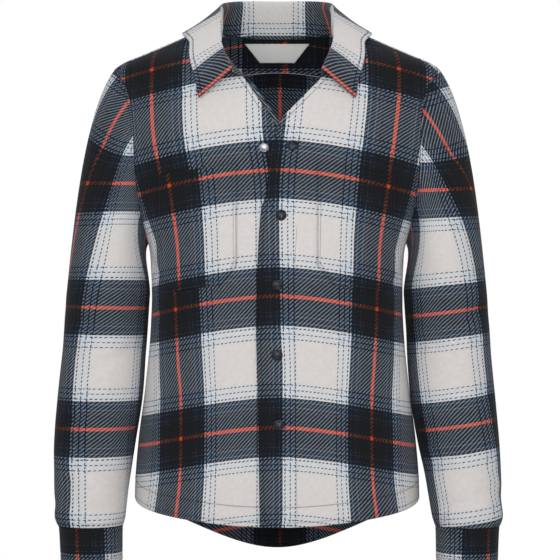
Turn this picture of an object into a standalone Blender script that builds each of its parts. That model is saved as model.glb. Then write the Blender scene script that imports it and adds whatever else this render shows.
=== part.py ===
"""Plaid shirt-jacket, worn and open at the neck, as the cloth pieces that a maker cuts and sews.

The front faces -Y, the wearer's left is +X, and the origin is at the base of the neck, between
the shoulders. Each piece is a wall of cloth on rings worked out from the garment's own sizes.
A turn is an angle in degrees round the body, from the front centre towards the wearer's left.
"""
import bpy
import bmesh
from math import atan2, copysign, cos, degrees, exp, pi, radians, sin
from mathutils import Vector

# Cloth and seams
WALL = 0.0020
SEAM_GAP = 0.0003
MITRE = 1.15
LAID_ON = 0.0006
POCKET_WALL = 0.0015
POCKET_LIFT = 0.0009
FACING_WALL = 0.0013
LABEL_WALL = 0.0010

# Body rings
TORSO_RINGS = (
    # height, half width, depth to the front, depth to the back, squareness
    (-0.740, 0.1990, 0.141, 0.145, 2.45),
    (-0.620, 0.1980, 0.140, 0.141, 2.45),
    (-0.555, 0.1930, 0.138, 0.137, 2.42),
    (-0.490, 0.1845, 0.136, 0.133, 2.40),
    (-0.420, 0.1775, 0.136, 0.131, 2.40),
    (-0.360, 0.1750, 0.138, 0.133, 2.40),
    (-0.320, 0.1760, 0.140, 0.136, 2.40),
    (-0.285, 0.1800, 0.141, 0.139, 2.40),
    (-0.240, 0.2000, 0.139, 0.139, 2.40),
    (-0.200, 0.2170, 0.135, 0.136, 2.40),
    (-0.150, 0.2300, 0.127, 0.131, 2.38),
    (-0.100, 0.2345, 0.114, 0.122, 2.32),
    (-0.070, 0.2335, 0.104, 0.115, 2.26),
    (-0.045, 0.2290, 0.094, 0.107, 2.20),
    (-0.034, 0.2155, 0.087, 0.103, 2.18),
    (-0.022, 0.1880, 0.078, 0.098, 2.16),
    (-0.011, 0.1625, 0.068, 0.093, 2.14),
    (0.004, 0.1270, 0.058, 0.087, 2.12),
    (0.012, 0.1000, 0.053, 0.084, 2.10),
    (0.016, 0.0850, 0.050, 0.083, 2.10),
)

# Free front edges, measured across from the middle of the body
FRONT_EDGES = (
    # height, wearer's left, wearer's right
    (-0.670, -0.0230, 0.0310),
    (-0.497, -0.0255, 0.0310),
    (-0.399, -0.0280, 0.0310),
    (-0.312, -0.0260, 0.0310),
    (-0.240, -0.0210, 0.0250),
    (-0.222, -0.0150, 0.0210),
    (-0.166, -0.0085, 0.0120),
    (-0.145, -0.0035, 0.0080),
    (-0.121, 0.0040, 0.0030),
    (-0.090, 0.0330, -0.0180),
    (-0.061, 0.0607, -0.0370),
)
OPENING_FOOT = -0.121

# Neck seam of the fronts, from the shoulder seam to the free edge
NECK_FRONT = (
    # height, across on the wearer's left, across on the wearer's right
    (0.0040, 0.0815, 0.0815),
    (-0.0140, 0.0780, 0.0780),
    (-0.0380, 0.0715, 0.0640),
    (-0.0610, 0.0607, 0.0450),
)
NECK_TURN = 80.0
NECK_HEIGHTS = (
    # turn from the front, height of the neck seam
    (80.0, 0.0148),
    (92.0, 0.0160),
    (120.0, 0.0135),
    (150.0, 0.0105),
    (180.0, 0.0090),
)

# Armholes: a rounded loop of turns and heights
ARMHOLE_MIDDLE = -0.165
ARMHOLE_RISE = 0.120
ARMHOLE_SPREAD = 22.0
ARMHOLE_POWER = 0.91
ARMHOLE_CENTRE = Vector((0.205, 0.0, -0.165))
SHOULDER_SEAM_PLACE = 72.0
YOKE_SEAM_PLACE = 130.0

# Yoke and hem
YOKE_DROP = -0.036
HEM_SIDE = -0.633
HEM_FRONT_DROP = 0.034
HEM_BACK_DROP = 0.095
HEM_FRONT_POWER = 0.85
HEM_BACK_POWER = 1.50

# The wearer's right front lies under the left one
LAP_DEPTH = 0.0032
LAP_START = -0.055
LAP_FULL = -0.030
LAP_TOP = -0.090
LAP_FADE = 0.035
FACING_SHOWS = 0.008
FACING_FADE = 0.025
FACING_WIDTH = 0.020
FACING_TOP = -0.069
FACING_FOOT = -0.150

# Collar: the stand rises from the neck seam to the roll line, and the leaf falls to its edge
COLLAR_BACK_SHARE = 0.62
ROLL_LINE = (
    # place from centre back to front end, across, depth, height
    (0.000, 0.0000, 0.0880, 0.0640),
    (0.200, 0.0460, 0.0770, 0.0630),
    (0.400, 0.0720, 0.0450, 0.0570),
    (0.550, 0.0785, 0.0090, 0.0480),
    (0.620, 0.0790, -0.0100, 0.0400),
    (0.715, 0.0785, -0.0420, 0.0200),
    (0.810, 0.0770, -0.0695, -0.0080),
    (0.905, 0.0705, -0.0970, -0.0290),
    (1.000, 0.0605, -0.1120, -0.0520),
)
LEAF_EDGE = (
    # place from centre back to front end, turn, height, lift from the body
    (0.000, 180.0, -0.0100, 0.0032),
    (0.200, 150.0, -0.0100, 0.0032),
    (0.400, 120.0, -0.0050, 0.0032),
    (0.550, 98.0, 0.0030, 0.0050),
    (0.620, 86.0, 0.0030, 0.0058),
    (0.715, 69.0, -0.0100, 0.0050),
    (0.810, 58.0, -0.0330, 0.0042),
    (0.905, 50.5, -0.0610, 0.0044),
    (1.000, 45.5, -0.0920, 0.0048),
)
FOLD_IN = Vector((-0.0030, -0.0070))
FOLD_OUT = Vector((0.0060, -0.0040))
FOLD_ROOM = 0.016

# Sleeves: rings below the head, which is drawn from the armhole loop down to the first of them
SLEEVE_RINGS = (
    # height, reach of the right one, reach of the left one, half width, forward, half depth
    (-0.360, 0.2370, 0.2362, 0.0585, -0.005, 0.070),
    (-0.449, 0.2430, 0.2412, 0.0590, 0.000, 0.067),
    (-0.504, 0.2475, 0.2455, 0.0592, 0.008, 0.065),
    (-0.560, 0.2534, 0.2520, 0.0568, 0.018, 0.062),
    (-0.605, 0.2560, 0.2576, 0.0530, 0.027, 0.059),
    (-0.650, 0.2583, 0.2620, 0.0500, 0.036, 0.054),
    (-0.664, 0.2583, 0.2630, 0.0485, 0.039, 0.051),
    (-0.674, 0.2575, 0.2628, 0.0450, 0.041, 0.047),
    (-0.676, 0.2570, 0.2625, 0.0440, 0.042, 0.046),
    (-0.722, 0.2555, 0.2615, 0.0425, 0.047, 0.044),
)
SLEEVE_FOOT = -0.674
CUFF_TOP = SLEEVE_FOOT - SEAM_GAP
CUFF_FOOT = -0.7215
HEAD_OUT = 0.40
HEAD_DOWN = 0.58
HEAD_END_OUT = 0.10
HEAD_END_DOWN = 0.95
SLEEVE_DENTS = (
    # side, height, place round the sleeve, depth, half height, half width, slant
    (1, -0.400, 10.0, 0.0042, 0.020, 55.0, 0.015),
    (1, -0.618, 30.0, 0.0050, 0.016, 60.0, -0.020),
    (1, -0.570, -20.0, 0.0032, 0.015, 45.0, 0.020),
    (-1, -0.415, 20.0, 0.0036, 0.020, 50.0, -0.015),
    (-1, -0.590, -10.0, 0.0045, 0.018, 55.0, 0.022),
    (-1, -0.632, 45.0, 0.0036, 0.012, 50.0, -0.016),
    (1, -0.420, 180.0, 0.0050, 0.022, 60.0, 0.010),
    (-1, -0.425, 175.0, 0.0052, 0.022, 60.0, -0.012),
)

# Patch pockets, the same on both fronts
POCKET_INNER = 0.0535
POCKET_OUTER = 0.1590
POCKET_TOP = -0.180
POCKET_HEIGHT = 0.160
POCKET_DROOP = 0.014
POCKET_MITRE_ACROSS = 0.022
POCKET_MITRE_UP = 0.024

# Snaps
SNAP_TOP = -0.156
SNAP_PITCH = 0.0935
SNAP_COUNT = 5
SNAP_FROM_EDGE = 0.0275
CAP_PROFILE = ((0.0072, 0.0), (0.0074, 0.0008), (0.0070, 0.0017), (0.0048, 0.0028), (0.0, 0.0032))
STUD_ACROSS = -0.0174
STUD_HEIGHT = -0.158
STUD_PROFILE = (
    (0.0060, 0.0), (0.0060, 0.0007), (0.0048, 0.0010), (0.0044, 0.0026), (0.0034, 0.0026),
    (0.0031, 0.0012), (0.0, 0.0012),
)
SNAP_SIDES = 16

# Neck label, bare, on the inside of the yoke
LABEL_TOP = 0.0045
LABEL_FOOT = -0.0215
LABEL_TOP_HALF = 0.047
LABEL_FOOT_HALF = 0.025

# Numbers of cells
BODY_ROWS = 9
OPENING_ROWS = (4, 2, 4)
YOKE_ARMHOLE_CELLS = 4
BACK_ARMHOLE_ROWS = 7
FRONT_COLUMNS = 9
BACK_COLUMNS = 16
HEAD_ROWS = 8
SLEEVE_ROWS = 9
CUFF_ROWS = 3
COLLAR_ROWS = 3
POCKET_ROWS = 10
POCKET_COLUMNS = 7
FACING_ROWS = 7
FACING_COLUMNS = 3
LABEL_ROWS = 3
LABEL_COLUMNS = 10


def sample(rows, key):
    """Columns of a table at a key in its first column, on a smooth curve through its rows."""
    if rows[0][0] > rows[-1][0]:
        rows = rows[::-1]
    index = 0
    while index < len(rows) - 2 and key > rows[index + 1][0]:
        index += 1
    low, high = rows[index], rows[index + 1]
    span = high[0] - low[0]
    share = (key - low[0]) / span
    before = rows[max(index - 1, 0)]
    after = rows[min(index + 2, len(rows) - 1)]
    values = []
    for column in range(1, len(low)):
        slope_low = (high[column] - before[column]) / (high[0] - before[0]) * span
        slope_high = (after[column] - low[column]) / (after[0] - low[0]) * span
        if share < 0.0:
            values.append(low[column] + slope_low * share)
        elif share > 1.0:
            values.append(high[column] + slope_high * (share - 1.0))
        else:
            rest = 1.0 - share
            values.append(
                low[column] * (1.0 + 2.0 * share) * rest * rest
                + high[column] * share * share * (3.0 - 2.0 * share)
                + slope_low * share * rest * rest
                - slope_high * share * share * rest
            )
    return values


def blend(low, high, share):
    """Value or point at a share of the way from low to high."""
    return low + (high - low) * share


def ease(value, start, end):
    """Soft step from 0 at start to 1 at end."""
    share = min(max((value - start) / (end - start), 0.0), 1.0)
    return share * share * (3.0 - 2.0 * share)


def torso_point(turn, height):
    """Point of the cloth's outer face at a turn and a height."""
    width, front, back, square = sample(TORSO_RINGS, height)
    across = sin(radians(turn))
    along = cos(radians(turn))
    depth = front if along > 0.0 else back
    reach = (abs(across / width) ** square + abs(along / depth) ** square) ** (-1.0 / square)
    return Vector((reach * across, -reach * along, height))


def torso_normal(turn, height):
    """Outward direction of the cloth at a turn and a height."""
    round_step = torso_point(turn + 0.4, height) - torso_point(turn - 0.4, height)
    up_step = torso_point(turn, height + 0.001) - torso_point(turn, height - 0.001)
    return round_step.cross(up_step).normalized()


def lap_depth(across, height):
    """How far the wearer's right front sinks under the left one."""
    fade = 1.0 - ease(height, LAP_TOP - LAP_FADE, LAP_TOP)
    return LAP_DEPTH * ease(across, LAP_START, LAP_FULL) * fade


def front_turn(across, height):
    """Turn of the point of the front that lies at a distance across from the middle."""
    width, front, _, square = sample(TORSO_RINGS, height)
    depth = front * (1.0 - min(abs(across) / width, 1.0) ** square) ** (1.0 / square)
    return degrees(atan2(across, depth))


def front_point(across, height, lift, side):
    """Point of a front, lifted from its outer face; side is 1 on the wearer's left."""
    turn = front_turn(across, height)
    if side < 0:
        lift -= lap_depth(across, height)
    return torso_point(turn, height) + torso_normal(turn, height) * lift


def armhole_place(place):
    """Turn and height on the left armhole: place 90 is the shoulder, 0 the front, -90 the armpit."""
    along = cos(radians(place))
    up = sin(radians(place))
    turn = 90.0 - ARMHOLE_SPREAD * copysign(abs(along) ** ARMHOLE_POWER, along)
    height = ARMHOLE_MIDDLE + ARMHOLE_RISE * copysign(abs(up) ** ARMHOLE_POWER, up)
    return turn, height


def armhole_seam(place, side):
    """Outer and inner point of the armhole seam, and the direction across it to the sleeve."""
    point = torso_point(*armhole_place(place))
    ahead = torso_point(*armhole_place(place + 1.0)) - torso_point(*armhole_place(place - 1.0))
    inward = (ARMHOLE_CENTRE - point).normalized()
    over = ahead.cross(inward).normalized()
    if over.x < 0.0:
        over.negate()
    inner = point + inward * WALL
    mirror = Vector((side, 1.0, 1.0))
    return point * mirror, inner * mirror, over * mirror


def neck_seam(turn, height):
    """Outer and inner point of the neck seam, and the direction across it to the collar."""
    point = torso_point(turn, height)
    to_axis = Vector((-point.x, -point.y, 0.0)).normalized()
    inward = (to_axis - torso_normal(turn, height)).normalized()
    tangent = Vector((-point.y, point.x, 0.0))
    over = tangent.cross(inward).normalized()
    if over.z < 0.0:
        over.negate()
    return point, point + inward * WALL * MITRE, over


def steps(count):
    """Shares from 0 to 1, with both ends."""
    return [index / count for index in range(count + 1)]


def armhole_places():
    """Places of the armhole's corners, from the armpit up the front and down the back."""
    front = [blend(-90.0, SHOULDER_SEAM_PLACE, share) for share in steps(sum(OPENING_ROWS))]
    top = [blend(SHOULDER_SEAM_PLACE, YOKE_SEAM_PLACE, share) for share in steps(YOKE_ARMHOLE_CELLS)]
    back = [blend(YOKE_SEAM_PLACE, 270.0, share) for share in steps(BACK_ARMHOLE_ROWS)]
    return front, top, back


def make_material(name, colour, roughness, metallic=0.0):
    """Plain material of a piece."""
    material = bpy.data.materials.new(name)
    material.use_nodes = True
    shader = material.node_tree.nodes["Principled BSDF"]
    shader.inputs["Base Color"].default_value = (*colour, 1.0)
    shader.inputs["Roughness"].default_value = roughness
    shader.inputs["Metallic"].default_value = metallic
    material.diffuse_color = (*colour, 1.0)
    return material


def add_object(name, model, material):
    """Object made from a bmesh, with its material and smooth shading."""
    bmesh.ops.recalc_face_normals(model, faces=model.faces)
    bmesh.ops.triangulate(model, faces=model.faces, quad_method="FIXED")
    mesh = bpy.data.meshes.new(name)
    model.to_mesh(mesh)
    model.free()
    mesh.materials.append(material)
    mesh.shade_smooth()
    mesh.set_sharp_from_angle(angle=radians(40.0))
    piece = bpy.data.objects.new(name, mesh)
    bpy.context.scene.collection.objects.link(piece)
    return piece


def cloth_wall(name, outer, inner, material, tube=False):
    """Closed wall between two grids of points; the rows of a tube join end to end."""
    model = bmesh.new()
    faces = [[[model.verts.new(point) for point in row] for row in grid] for grid in (outer, inner)]
    row_count = len(outer)
    column_count = len(outer[0])
    cells = column_count if tube else column_count - 1
    for row in range(row_count - 1):
        for column in range(cells):
            after = (column + 1) % column_count
            for grid in faces:
                corners = (grid[row][column], grid[row][after], grid[row + 1][after], grid[row + 1][column])
                model.faces.new(corners)
    out, back = faces
    for row in (0, row_count - 1):
        for column in range(cells):
            after = (column + 1) % column_count
            model.faces.new((out[row][column], out[row][after], back[row][after], back[row][column]))
    if not tube:
        for column in (0, column_count - 1):
            for row in range(row_count - 1):
                above = row + 1
                model.faces.new((out[row][column], out[above][column], back[above][column], back[row][column]))
    return add_object(name, model, material)


def turned_piece(name, profile, base, axis, material):
    """Small turned piece whose profile of radius and height is spun about an axis."""
    model = bmesh.new()
    foot = model.verts.new((0.0, 0.0, profile[0][1]))
    rim = [model.verts.new((radius, 0.0, height)) for radius, height in profile]
    chain = [foot] + rim
    edges = [model.edges.new((chain[index], chain[index + 1])) for index in range(len(chain) - 1)]
    bmesh.ops.spin(
        model, geom=chain + edges, cent=(0.0, 0.0, 0.0), axis=(0.0, 0.0, 1.0), dvec=(0.0, 0.0, 0.0),
        angle=2.0 * pi, steps=SNAP_SIDES, use_merge=True,
    )
    bmesh.ops.remove_doubles(model, verts=model.verts, dist=0.00001)
    turn = Vector((0.0, 0.0, 1.0)).rotation_difference(axis).to_matrix().to_4x4()
    bmesh.ops.transform(model, matrix=turn, verts=model.verts)
    bmesh.ops.translate(model, vec=base, verts=model.verts)
    return add_object(name, model, material)


def hem_height(turn):
    """Height of the curved hem, which is deepest at the back."""
    along = cos(radians(turn))
    if along > 0.0:
        return HEM_SIDE - HEM_FRONT_DROP * along ** HEM_FRONT_POWER
    return HEM_SIDE - HEM_BACK_DROP * (-along) ** HEM_BACK_POWER


def edge_across(height, side, set_back):
    """Distance across of a front's free edge; the facing shows past it on the wearer's right."""
    left, right = sample(FRONT_EDGES, height)
    if side > 0:
        return left
    return right - set_back * ease(height, FACING_FOOT, FACING_FOOT + FACING_FADE)


def make_front(name, side, material):
    """One front: free edge, curved hem, side seam, armhole, shoulder seam and neck seam."""
    lower, middle, upper = OPENING_ROWS
    armpit = ARMHOLE_MIDDLE - ARMHOLE_RISE
    foot = hem_height(0.0)
    left_rows = []
    edge_heights = [blend(foot, armpit, share) for share in steps(BODY_ROWS)[:-1]]
    edge_heights += [blend(armpit, OPENING_FOOT, share) for share in steps(lower)[:-1]]
    edge_heights += [blend(OPENING_FOOT, FRONT_EDGES[-1][0], share) for share in steps(middle)]
    for height in edge_heights:
        across = edge_across(height, side, FACING_SHOWS)
        left_rows.append((front_turn(across, height), height, False))
    for height, left, right in NECK_FRONT[-2::-1]:
        across = left if side > 0 else -right
        left_rows.append((front_turn(across, height), height, True))
    left_rows.append((side * NECK_TURN, NECK_HEIGHTS[0][1], True))

    places = armhole_places()[0]
    outer, inner = [], []
    last_row = len(left_rows) - 1
    for row, (start_turn, start_height, on_neck) in enumerate(left_rows):
        if row <= BODY_ROWS:
            end_turn, end_height = side * 90.0, blend(HEM_SIDE, armpit, row / BODY_ROWS)
        else:
            end_turn, end_height = armhole_place(places[row - BODY_ROWS])
            end_turn *= side
        out_row, in_row = [], []
        for share in steps(FRONT_COLUMNS):
            turn = blend(start_turn, end_turn, share)
            height = blend(start_height, end_height, share)
            if row < BODY_ROWS:
                straight = blend(foot, HEM_SIDE, share)
                height += (hem_height(turn) - straight) * (1.0 - row / BODY_ROWS)
            point = torso_point(turn, height)
            normal = torso_normal(turn, height)
            if side < 0:
                point -= normal * lap_depth(point.x, height)
            inside = point - normal * WALL
            if share == 1.0 and row >= BODY_ROWS:
                point, inside, over = armhole_seam(places[row - BODY_ROWS], side)
                point = point - over * SEAM_GAP / 2.0
                inside = inside - over * SEAM_GAP / 2.0
            elif share == 1.0:
                back_off = Vector((0.0, SEAM_GAP / 2.0, 0.0))
                point = point - back_off
                inside = inside - back_off
            elif share == 0.0 and (on_neck or row == BODY_ROWS + lower + middle):
                point, inside, over = neck_seam(turn, height)
                point = point - over * SEAM_GAP / 2.0
                inside = inside - over * SEAM_GAP / 2.0
            if row == last_row:
                back_off = shoulder_direction(turn, height, side) * SEAM_GAP / 2.0
                point = point - back_off
                inside = inside - back_off
            out_row.append(point)
            in_row.append(inside)
        outer.append(out_row)
        inner.append(in_row)
    return cloth_wall(name, outer, inner, material)


def shoulder_direction(turn, height, side):
    """Direction across the shoulder seam, from the front to the yoke."""
    across = torso_point(turn + side * 0.5, height) - torso_point(turn, height)
    return across.normalized()


def make_back(name, material):
    """Back: curved hem, both side seams and armholes, and the seam under the yoke."""
    places = armhole_places()[2][::-1]
    armpit = ARMHOLE_MIDDLE - ARMHOLE_RISE
    outer, inner = [], []
    rows = BODY_ROWS + BACK_ARMHOLE_ROWS
    for row in range(rows + 1):
        if row <= BODY_ROWS:
            end_turn, end_height = 90.0, blend(HEM_SIDE, armpit, row / BODY_ROWS)
        else:
            end_turn, end_height = armhole_place(places[row - BODY_ROWS])
        out_row, in_row = [], []
        for share in steps(BACK_COLUMNS):
            turn = blend(end_turn, 360.0 - end_turn, share)
            middle = 1.0 - abs(2.0 * share - 1.0)
            height = end_height
            if row < BODY_ROWS:
                height += (hem_height(turn) - HEM_SIDE) * (1.0 - row / BODY_ROWS)
            if row > BODY_ROWS:
                climb = (row - BODY_ROWS) / BACK_ARMHOLE_ROWS
                yoke_rise = YOKE_DROP - armhole_place(YOKE_SEAM_PLACE)[1]
                height += yoke_rise * climb * (1.0 - (1.0 - middle) ** 2)
            point = torso_point(turn, height)
            inside = point - torso_normal(turn, height) * WALL
            if share in (0.0, 1.0):
                side = 1 if share == 0.0 else -1
                if row >= BODY_ROWS:
                    point, inside, over = armhole_seam(places[row - BODY_ROWS], side)
                else:
                    over = Vector((0.0, -1.0, 0.0))
                point = point - over * SEAM_GAP / 2.0
                inside = inside - over * SEAM_GAP / 2.0
            if row == rows:
                drop = Vector((0.0, 0.0, SEAM_GAP / 2.0))
                point = point - drop
                inside = inside - drop
            out_row.append(point)
            in_row.append(inside)
        outer.append(out_row)
        inner.append(in_row)
    return cloth_wall(name, outer, inner, material)


def yoke_column(index):
    """Turn and height of the yoke's lower edge and of its neck edge at one column."""
    _, top, _ = armhole_places()
    cells = YOKE_ARMHOLE_CELLS
    total = BACK_COLUMNS + 2 * cells
    neck_turn = blend(NECK_TURN, 360.0 - NECK_TURN, index / total)
    folded = neck_turn if neck_turn <= 180.0 else 360.0 - neck_turn
    neck = (neck_turn, sample(NECK_HEIGHTS, folded)[0])
    if index <= cells:
        place, side = top[index], 1
    elif index >= total - cells:
        place, side = top[total - index], -1
    else:
        share = (index - cells) / BACK_COLUMNS
        turn, height = armhole_place(YOKE_SEAM_PLACE)
        middle = 1.0 - abs(2.0 * share - 1.0)
        height += (YOKE_DROP - height) * (1.0 - (1.0 - middle) ** 2)
        return (blend(turn, 360.0 - turn, share), height), neck, None, 0
    turn, height = armhole_place(place)
    if side < 0:
        turn = 360.0 - turn
    return (turn, height), neck, place, side


def make_yoke(name, material):
    """Yoke: over both shoulders, from the shoulder seams to the seam across the back."""
    total = BACK_COLUMNS + 2 * YOKE_ARMHOLE_CELLS
    outer, inner = [], []
    for share in steps(FRONT_COLUMNS):
        out_row, in_row = [], []
        for index in range(total + 1):
            low, neck, place, side = yoke_column(index)
            turn = blend(low[0], neck[0], 1.0 - share)
            height = blend(low[1], neck[1], 1.0 - share)
            point = torso_point(turn, height)
            inside = point - torso_normal(turn, height) * WALL
            if share == 0.0:
                point, inside, over = neck_seam(turn, height)
                point = point - over * SEAM_GAP / 2.0
                inside = inside - over * SEAM_GAP / 2.0
            elif share == 1.0 and place is not None:
                point, inside, over = armhole_seam(place, side)
                point = point - over * SEAM_GAP / 2.0
                inside = inside - over * SEAM_GAP / 2.0
            if share == 1.0 and YOKE_ARMHOLE_CELLS <= index <= total - YOKE_ARMHOLE_CELLS:
                point = point + Vector((0.0, 0.0, SEAM_GAP / 2.0))
                inside = inside + Vector((0.0, 0.0, SEAM_GAP / 2.0))
            if index in (0, total):
                seam_side = 1 if index == 0 else -1
                forward = shoulder_direction(turn, height, seam_side) * SEAM_GAP / 2.0
                point = point + forward
                inside = inside + forward
            out_row.append(point)
            in_row.append(inside)
        outer.append(out_row)
        inner.append(in_row)
    return cloth_wall(name, outer, inner, material)


def sleeve_dent(side, place, height):
    """Depth of the soft folds of a sleeve at a place and a height."""
    total = 0.0
    for dent_side, middle, centre, depth, half_height, half_width, slant in SLEEVE_DENTS:
        if dent_side != side:
            continue
        turned = (place - centre + 180.0) % 360.0 - 180.0
        along = (height - middle - slant * turned / half_width) / half_height
        total += depth * exp(-along * along - (turned / half_width) ** 2)
    return total


def sleeve_ring(side, place, height):
    """Point of a sleeve's ring at a place round it."""
    right, left, half_width, forward, half_depth = sample(SLEEVE_RINGS, height)
    reach = left if side > 0 else right
    dent = sleeve_dent(side, place, height)
    out = (half_width - dent) * sin(radians(place))
    front = (half_depth - dent) * cos(radians(place))
    return Vector((side * (reach + out), -forward - front, height))


def sleeve_point(side, place, travel):
    """Point of a sleeve's outer face; travel is 0 to 1 down its head, and 1 to 2 below it."""
    head_foot = SLEEVE_RINGS[0][0]
    if travel > 1.0:
        return sleeve_ring(side, place, blend(head_foot, SLEEVE_FOOT, travel - 1.0))
    point, _, over = armhole_seam(place, side)
    start = point + over * SEAM_GAP / 2.0
    end = sleeve_ring(side, place, head_foot)
    drop = start.z - end.z
    leave = Vector((side * HEAD_OUT * drop, 0.0, -HEAD_DOWN * drop))
    arrive = Vector((side * HEAD_END_OUT * drop, 0.0, -HEAD_END_DOWN * drop))
    rest = 1.0 - travel
    return (
        start * (1.0 + 2.0 * travel) * rest * rest
        + end * travel * travel * (3.0 - 2.0 * travel)
        + leave * travel * rest * rest
        - arrive * travel * travel * rest
    )


def sleeve_normal(side, place, travel):
    """Outward direction of a sleeve."""
    low = max(travel - 0.01, 0.0)
    high = min(travel + 0.01, 2.0)
    round_step = sleeve_point(side, place + 1.0, travel) - sleeve_point(side, place - 1.0, travel)
    down_step = sleeve_point(side, place, high) - sleeve_point(side, place, low)
    return down_step.cross(round_step).normalized() * side


def sleeve_places():
    """Places of a sleeve's columns, which meet the corners of the armhole."""
    front, top, back = armhole_places()
    return front + top[1:] + back[1:-1]


def make_sleeve(name, side, material):
    """Sleeve: a tube from the armhole seam to the cuff."""
    travels = [row / HEAD_ROWS for row in range(HEAD_ROWS)]
    travels += [1.0 + row / SLEEVE_ROWS for row in range(SLEEVE_ROWS + 1)]
    outer, inner = [], []
    for travel in travels:
        out_row, in_row = [], []
        for place in sleeve_places():
            point = sleeve_point(side, place, travel)
            if travel == 0.0:
                _, inside, over = armhole_seam(place, side)
                inside = inside + over * SEAM_GAP / 2.0
            else:
                inside = point - sleeve_normal(side, place, travel) * WALL
                if travel == 2.0:
                    inside.z = point.z
            out_row.append(point)
            in_row.append(inside)
        outer.append(out_row)
        inner.append(in_row)
    return cloth_wall(name, outer, inner, material, tube=True)


def make_cuff(name, side, material):
    """Cuff: a closed band below the sleeve."""
    outer, inner = [], []
    for share in steps(CUFF_ROWS):
        height = blend(CUFF_TOP, CUFF_FOOT, share)
        centre = sum((sleeve_ring(side, place, height) for place in range(0, 360, 30)), Vector()) / 12.0
        out_row = [sleeve_ring(side, place, height) for place in sleeve_places()]
        outer.append(out_row)
        inner.append([point + (centre - point).normalized() * WALL for point in out_row])
    return cloth_wall(name, outer, inner, material, tube=True)


def collar_stations():
    """Turn, height, place and side of each corner of the collar, from the right end to the left."""
    total = BACK_COLUMNS + 2 * YOKE_ARMHOLE_CELLS
    front_count = len(NECK_FRONT)
    stations = []
    for side in (-1, 1):
        half = []
        for index, (height, left, right) in enumerate(NECK_FRONT):
            across = left if side > 0 else -right
            place = blend(COLLAR_BACK_SHARE, 1.0, (index + 1) / front_count)
            half.append((front_turn(across, height), height, place, side))
        stations.append(half)
    back = []
    for index in range(total + 1):
        _, (turn, height), _, _ = yoke_column(index)
        side = 1 if turn <= 180.0 else -1
        place = COLLAR_BACK_SHARE * abs(turn - 180.0) / (180.0 - NECK_TURN)
        back.append((turn, height, place, side))
    return stations[0][::-1] + back[::-1] + stations[1]


def collar_path(turn, height, place, side):
    """Middle line of the collar at one station: up the stand, over the roll and down the leaf."""
    start, inside, over = neck_seam(turn, height)
    base = (start + inside) / 2.0 + over * SEAM_GAP
    across, depth, top = sample(ROLL_LINE, place)
    roll = Vector((side * across, depth, top))
    leaf_turn, leaf_height, lift = sample(LEAF_EDGE, place)
    edge = torso_point(side * leaf_turn, leaf_height)
    edge += torso_normal(side * leaf_turn, leaf_height) * lift
    out = Vector((edge.x - base.x, edge.y - base.y, 0.0)).normalized()
    size = min(1.0, (roll.z - base.z) / FOLD_ROOM)
    rising = roll + out * FOLD_IN.x * size + Vector((0.0, 0.0, FOLD_IN.y * size))
    falling = roll + out * FOLD_OUT.x * size + Vector((0.0, 0.0, FOLD_OUT.y * size))
    stand = [blend(base, rising, share) for share in steps(COLLAR_ROWS)]
    leaf = [blend(falling, edge, share) for share in steps(COLLAR_ROWS)]
    return stand + [roll] + leaf


def make_collar(name, material):
    """Collar: stand and leaf in one, folded along the roll line."""
    stations = collar_stations()
    middle = [collar_path(*station) for station in stations]
    seams = [neck_seam(turn, height) for turn, height, _, _ in stations]
    count = len(middle[0])
    outer, inner = [], []
    for row in range(count):
        out_row, in_row = [], []
        for column, path in enumerate(middle):
            before = middle[max(column - 1, 0)][row]
            after = middle[min(column + 1, len(middle) - 1)][row]
            low = path[max(row - 1, 0)]
            high = path[min(row + 1, count - 1)]
            normal = (high - low).cross(after - before).normalized()
            point = path[row] + normal * WALL / 2.0
            inside = path[row] - normal * WALL / 2.0
            if row == 0:
                start, within, over = seams[column]
                point = start + over * SEAM_GAP
                inside = within + over * SEAM_GAP
            out_row.append(point)
            in_row.append(inside)
        outer.append(out_row)
        inner.append(in_row)
    return cloth_wall(name, outer, inner, material)


def make_pocket(name, side, material):
    """Patch pocket with both lower corners cut off, laid on a front."""
    shares = [0.0, POCKET_MITRE_ACROSS / (POCKET_OUTER - POCKET_INNER) / 2.0]
    mitre_share = POCKET_MITRE_ACROSS / (POCKET_OUTER - POCKET_INNER)
    shares += [blend(mitre_share, 1.0 - mitre_share, share) for share in steps(POCKET_COLUMNS)]
    shares += [1.0 - share for share in shares[1::-1]]
    outer, inner = [], []
    for climb in steps(POCKET_ROWS):
        out_row, in_row = [], []
        for share in shares:
            across = side * blend(POCKET_INNER, POCKET_OUTER, share)
            droop = POCKET_DROOP * share
            corner = max(0.0, 1.0 - min(share, 1.0 - share) / mitre_share)
            foot = POCKET_TOP - POCKET_HEIGHT + POCKET_MITRE_UP * corner
            height = blend(foot, POCKET_TOP, climb) - droop
            out_row.append(front_point(across, height, POCKET_LIFT + POCKET_WALL, side))
            in_row.append(front_point(across, height, POCKET_LIFT, side))
        outer.append(out_row)
        inner.append(in_row)
    return cloth_wall(name, outer, inner, material)


def make_facing(name, material):
    """Facing strip that shows past the wearer's right front along the open neck."""
    outer, inner = [], []
    for climb in steps(FACING_ROWS):
        height = blend(FACING_FOOT, FACING_TOP, climb)
        out_row, in_row = [], []
        for share in steps(FACING_COLUMNS):
            across = edge_across(height, -1, 0.0) - FACING_WIDTH * share
            lift = -WALL - LAID_ON
            out_row.append(front_point(across, height, lift, -1))
            in_row.append(front_point(across, height, lift - FACING_WALL, -1))
        outer.append(out_row)
        inner.append(in_row)
    return cloth_wall(name, outer, inner, material)


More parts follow.
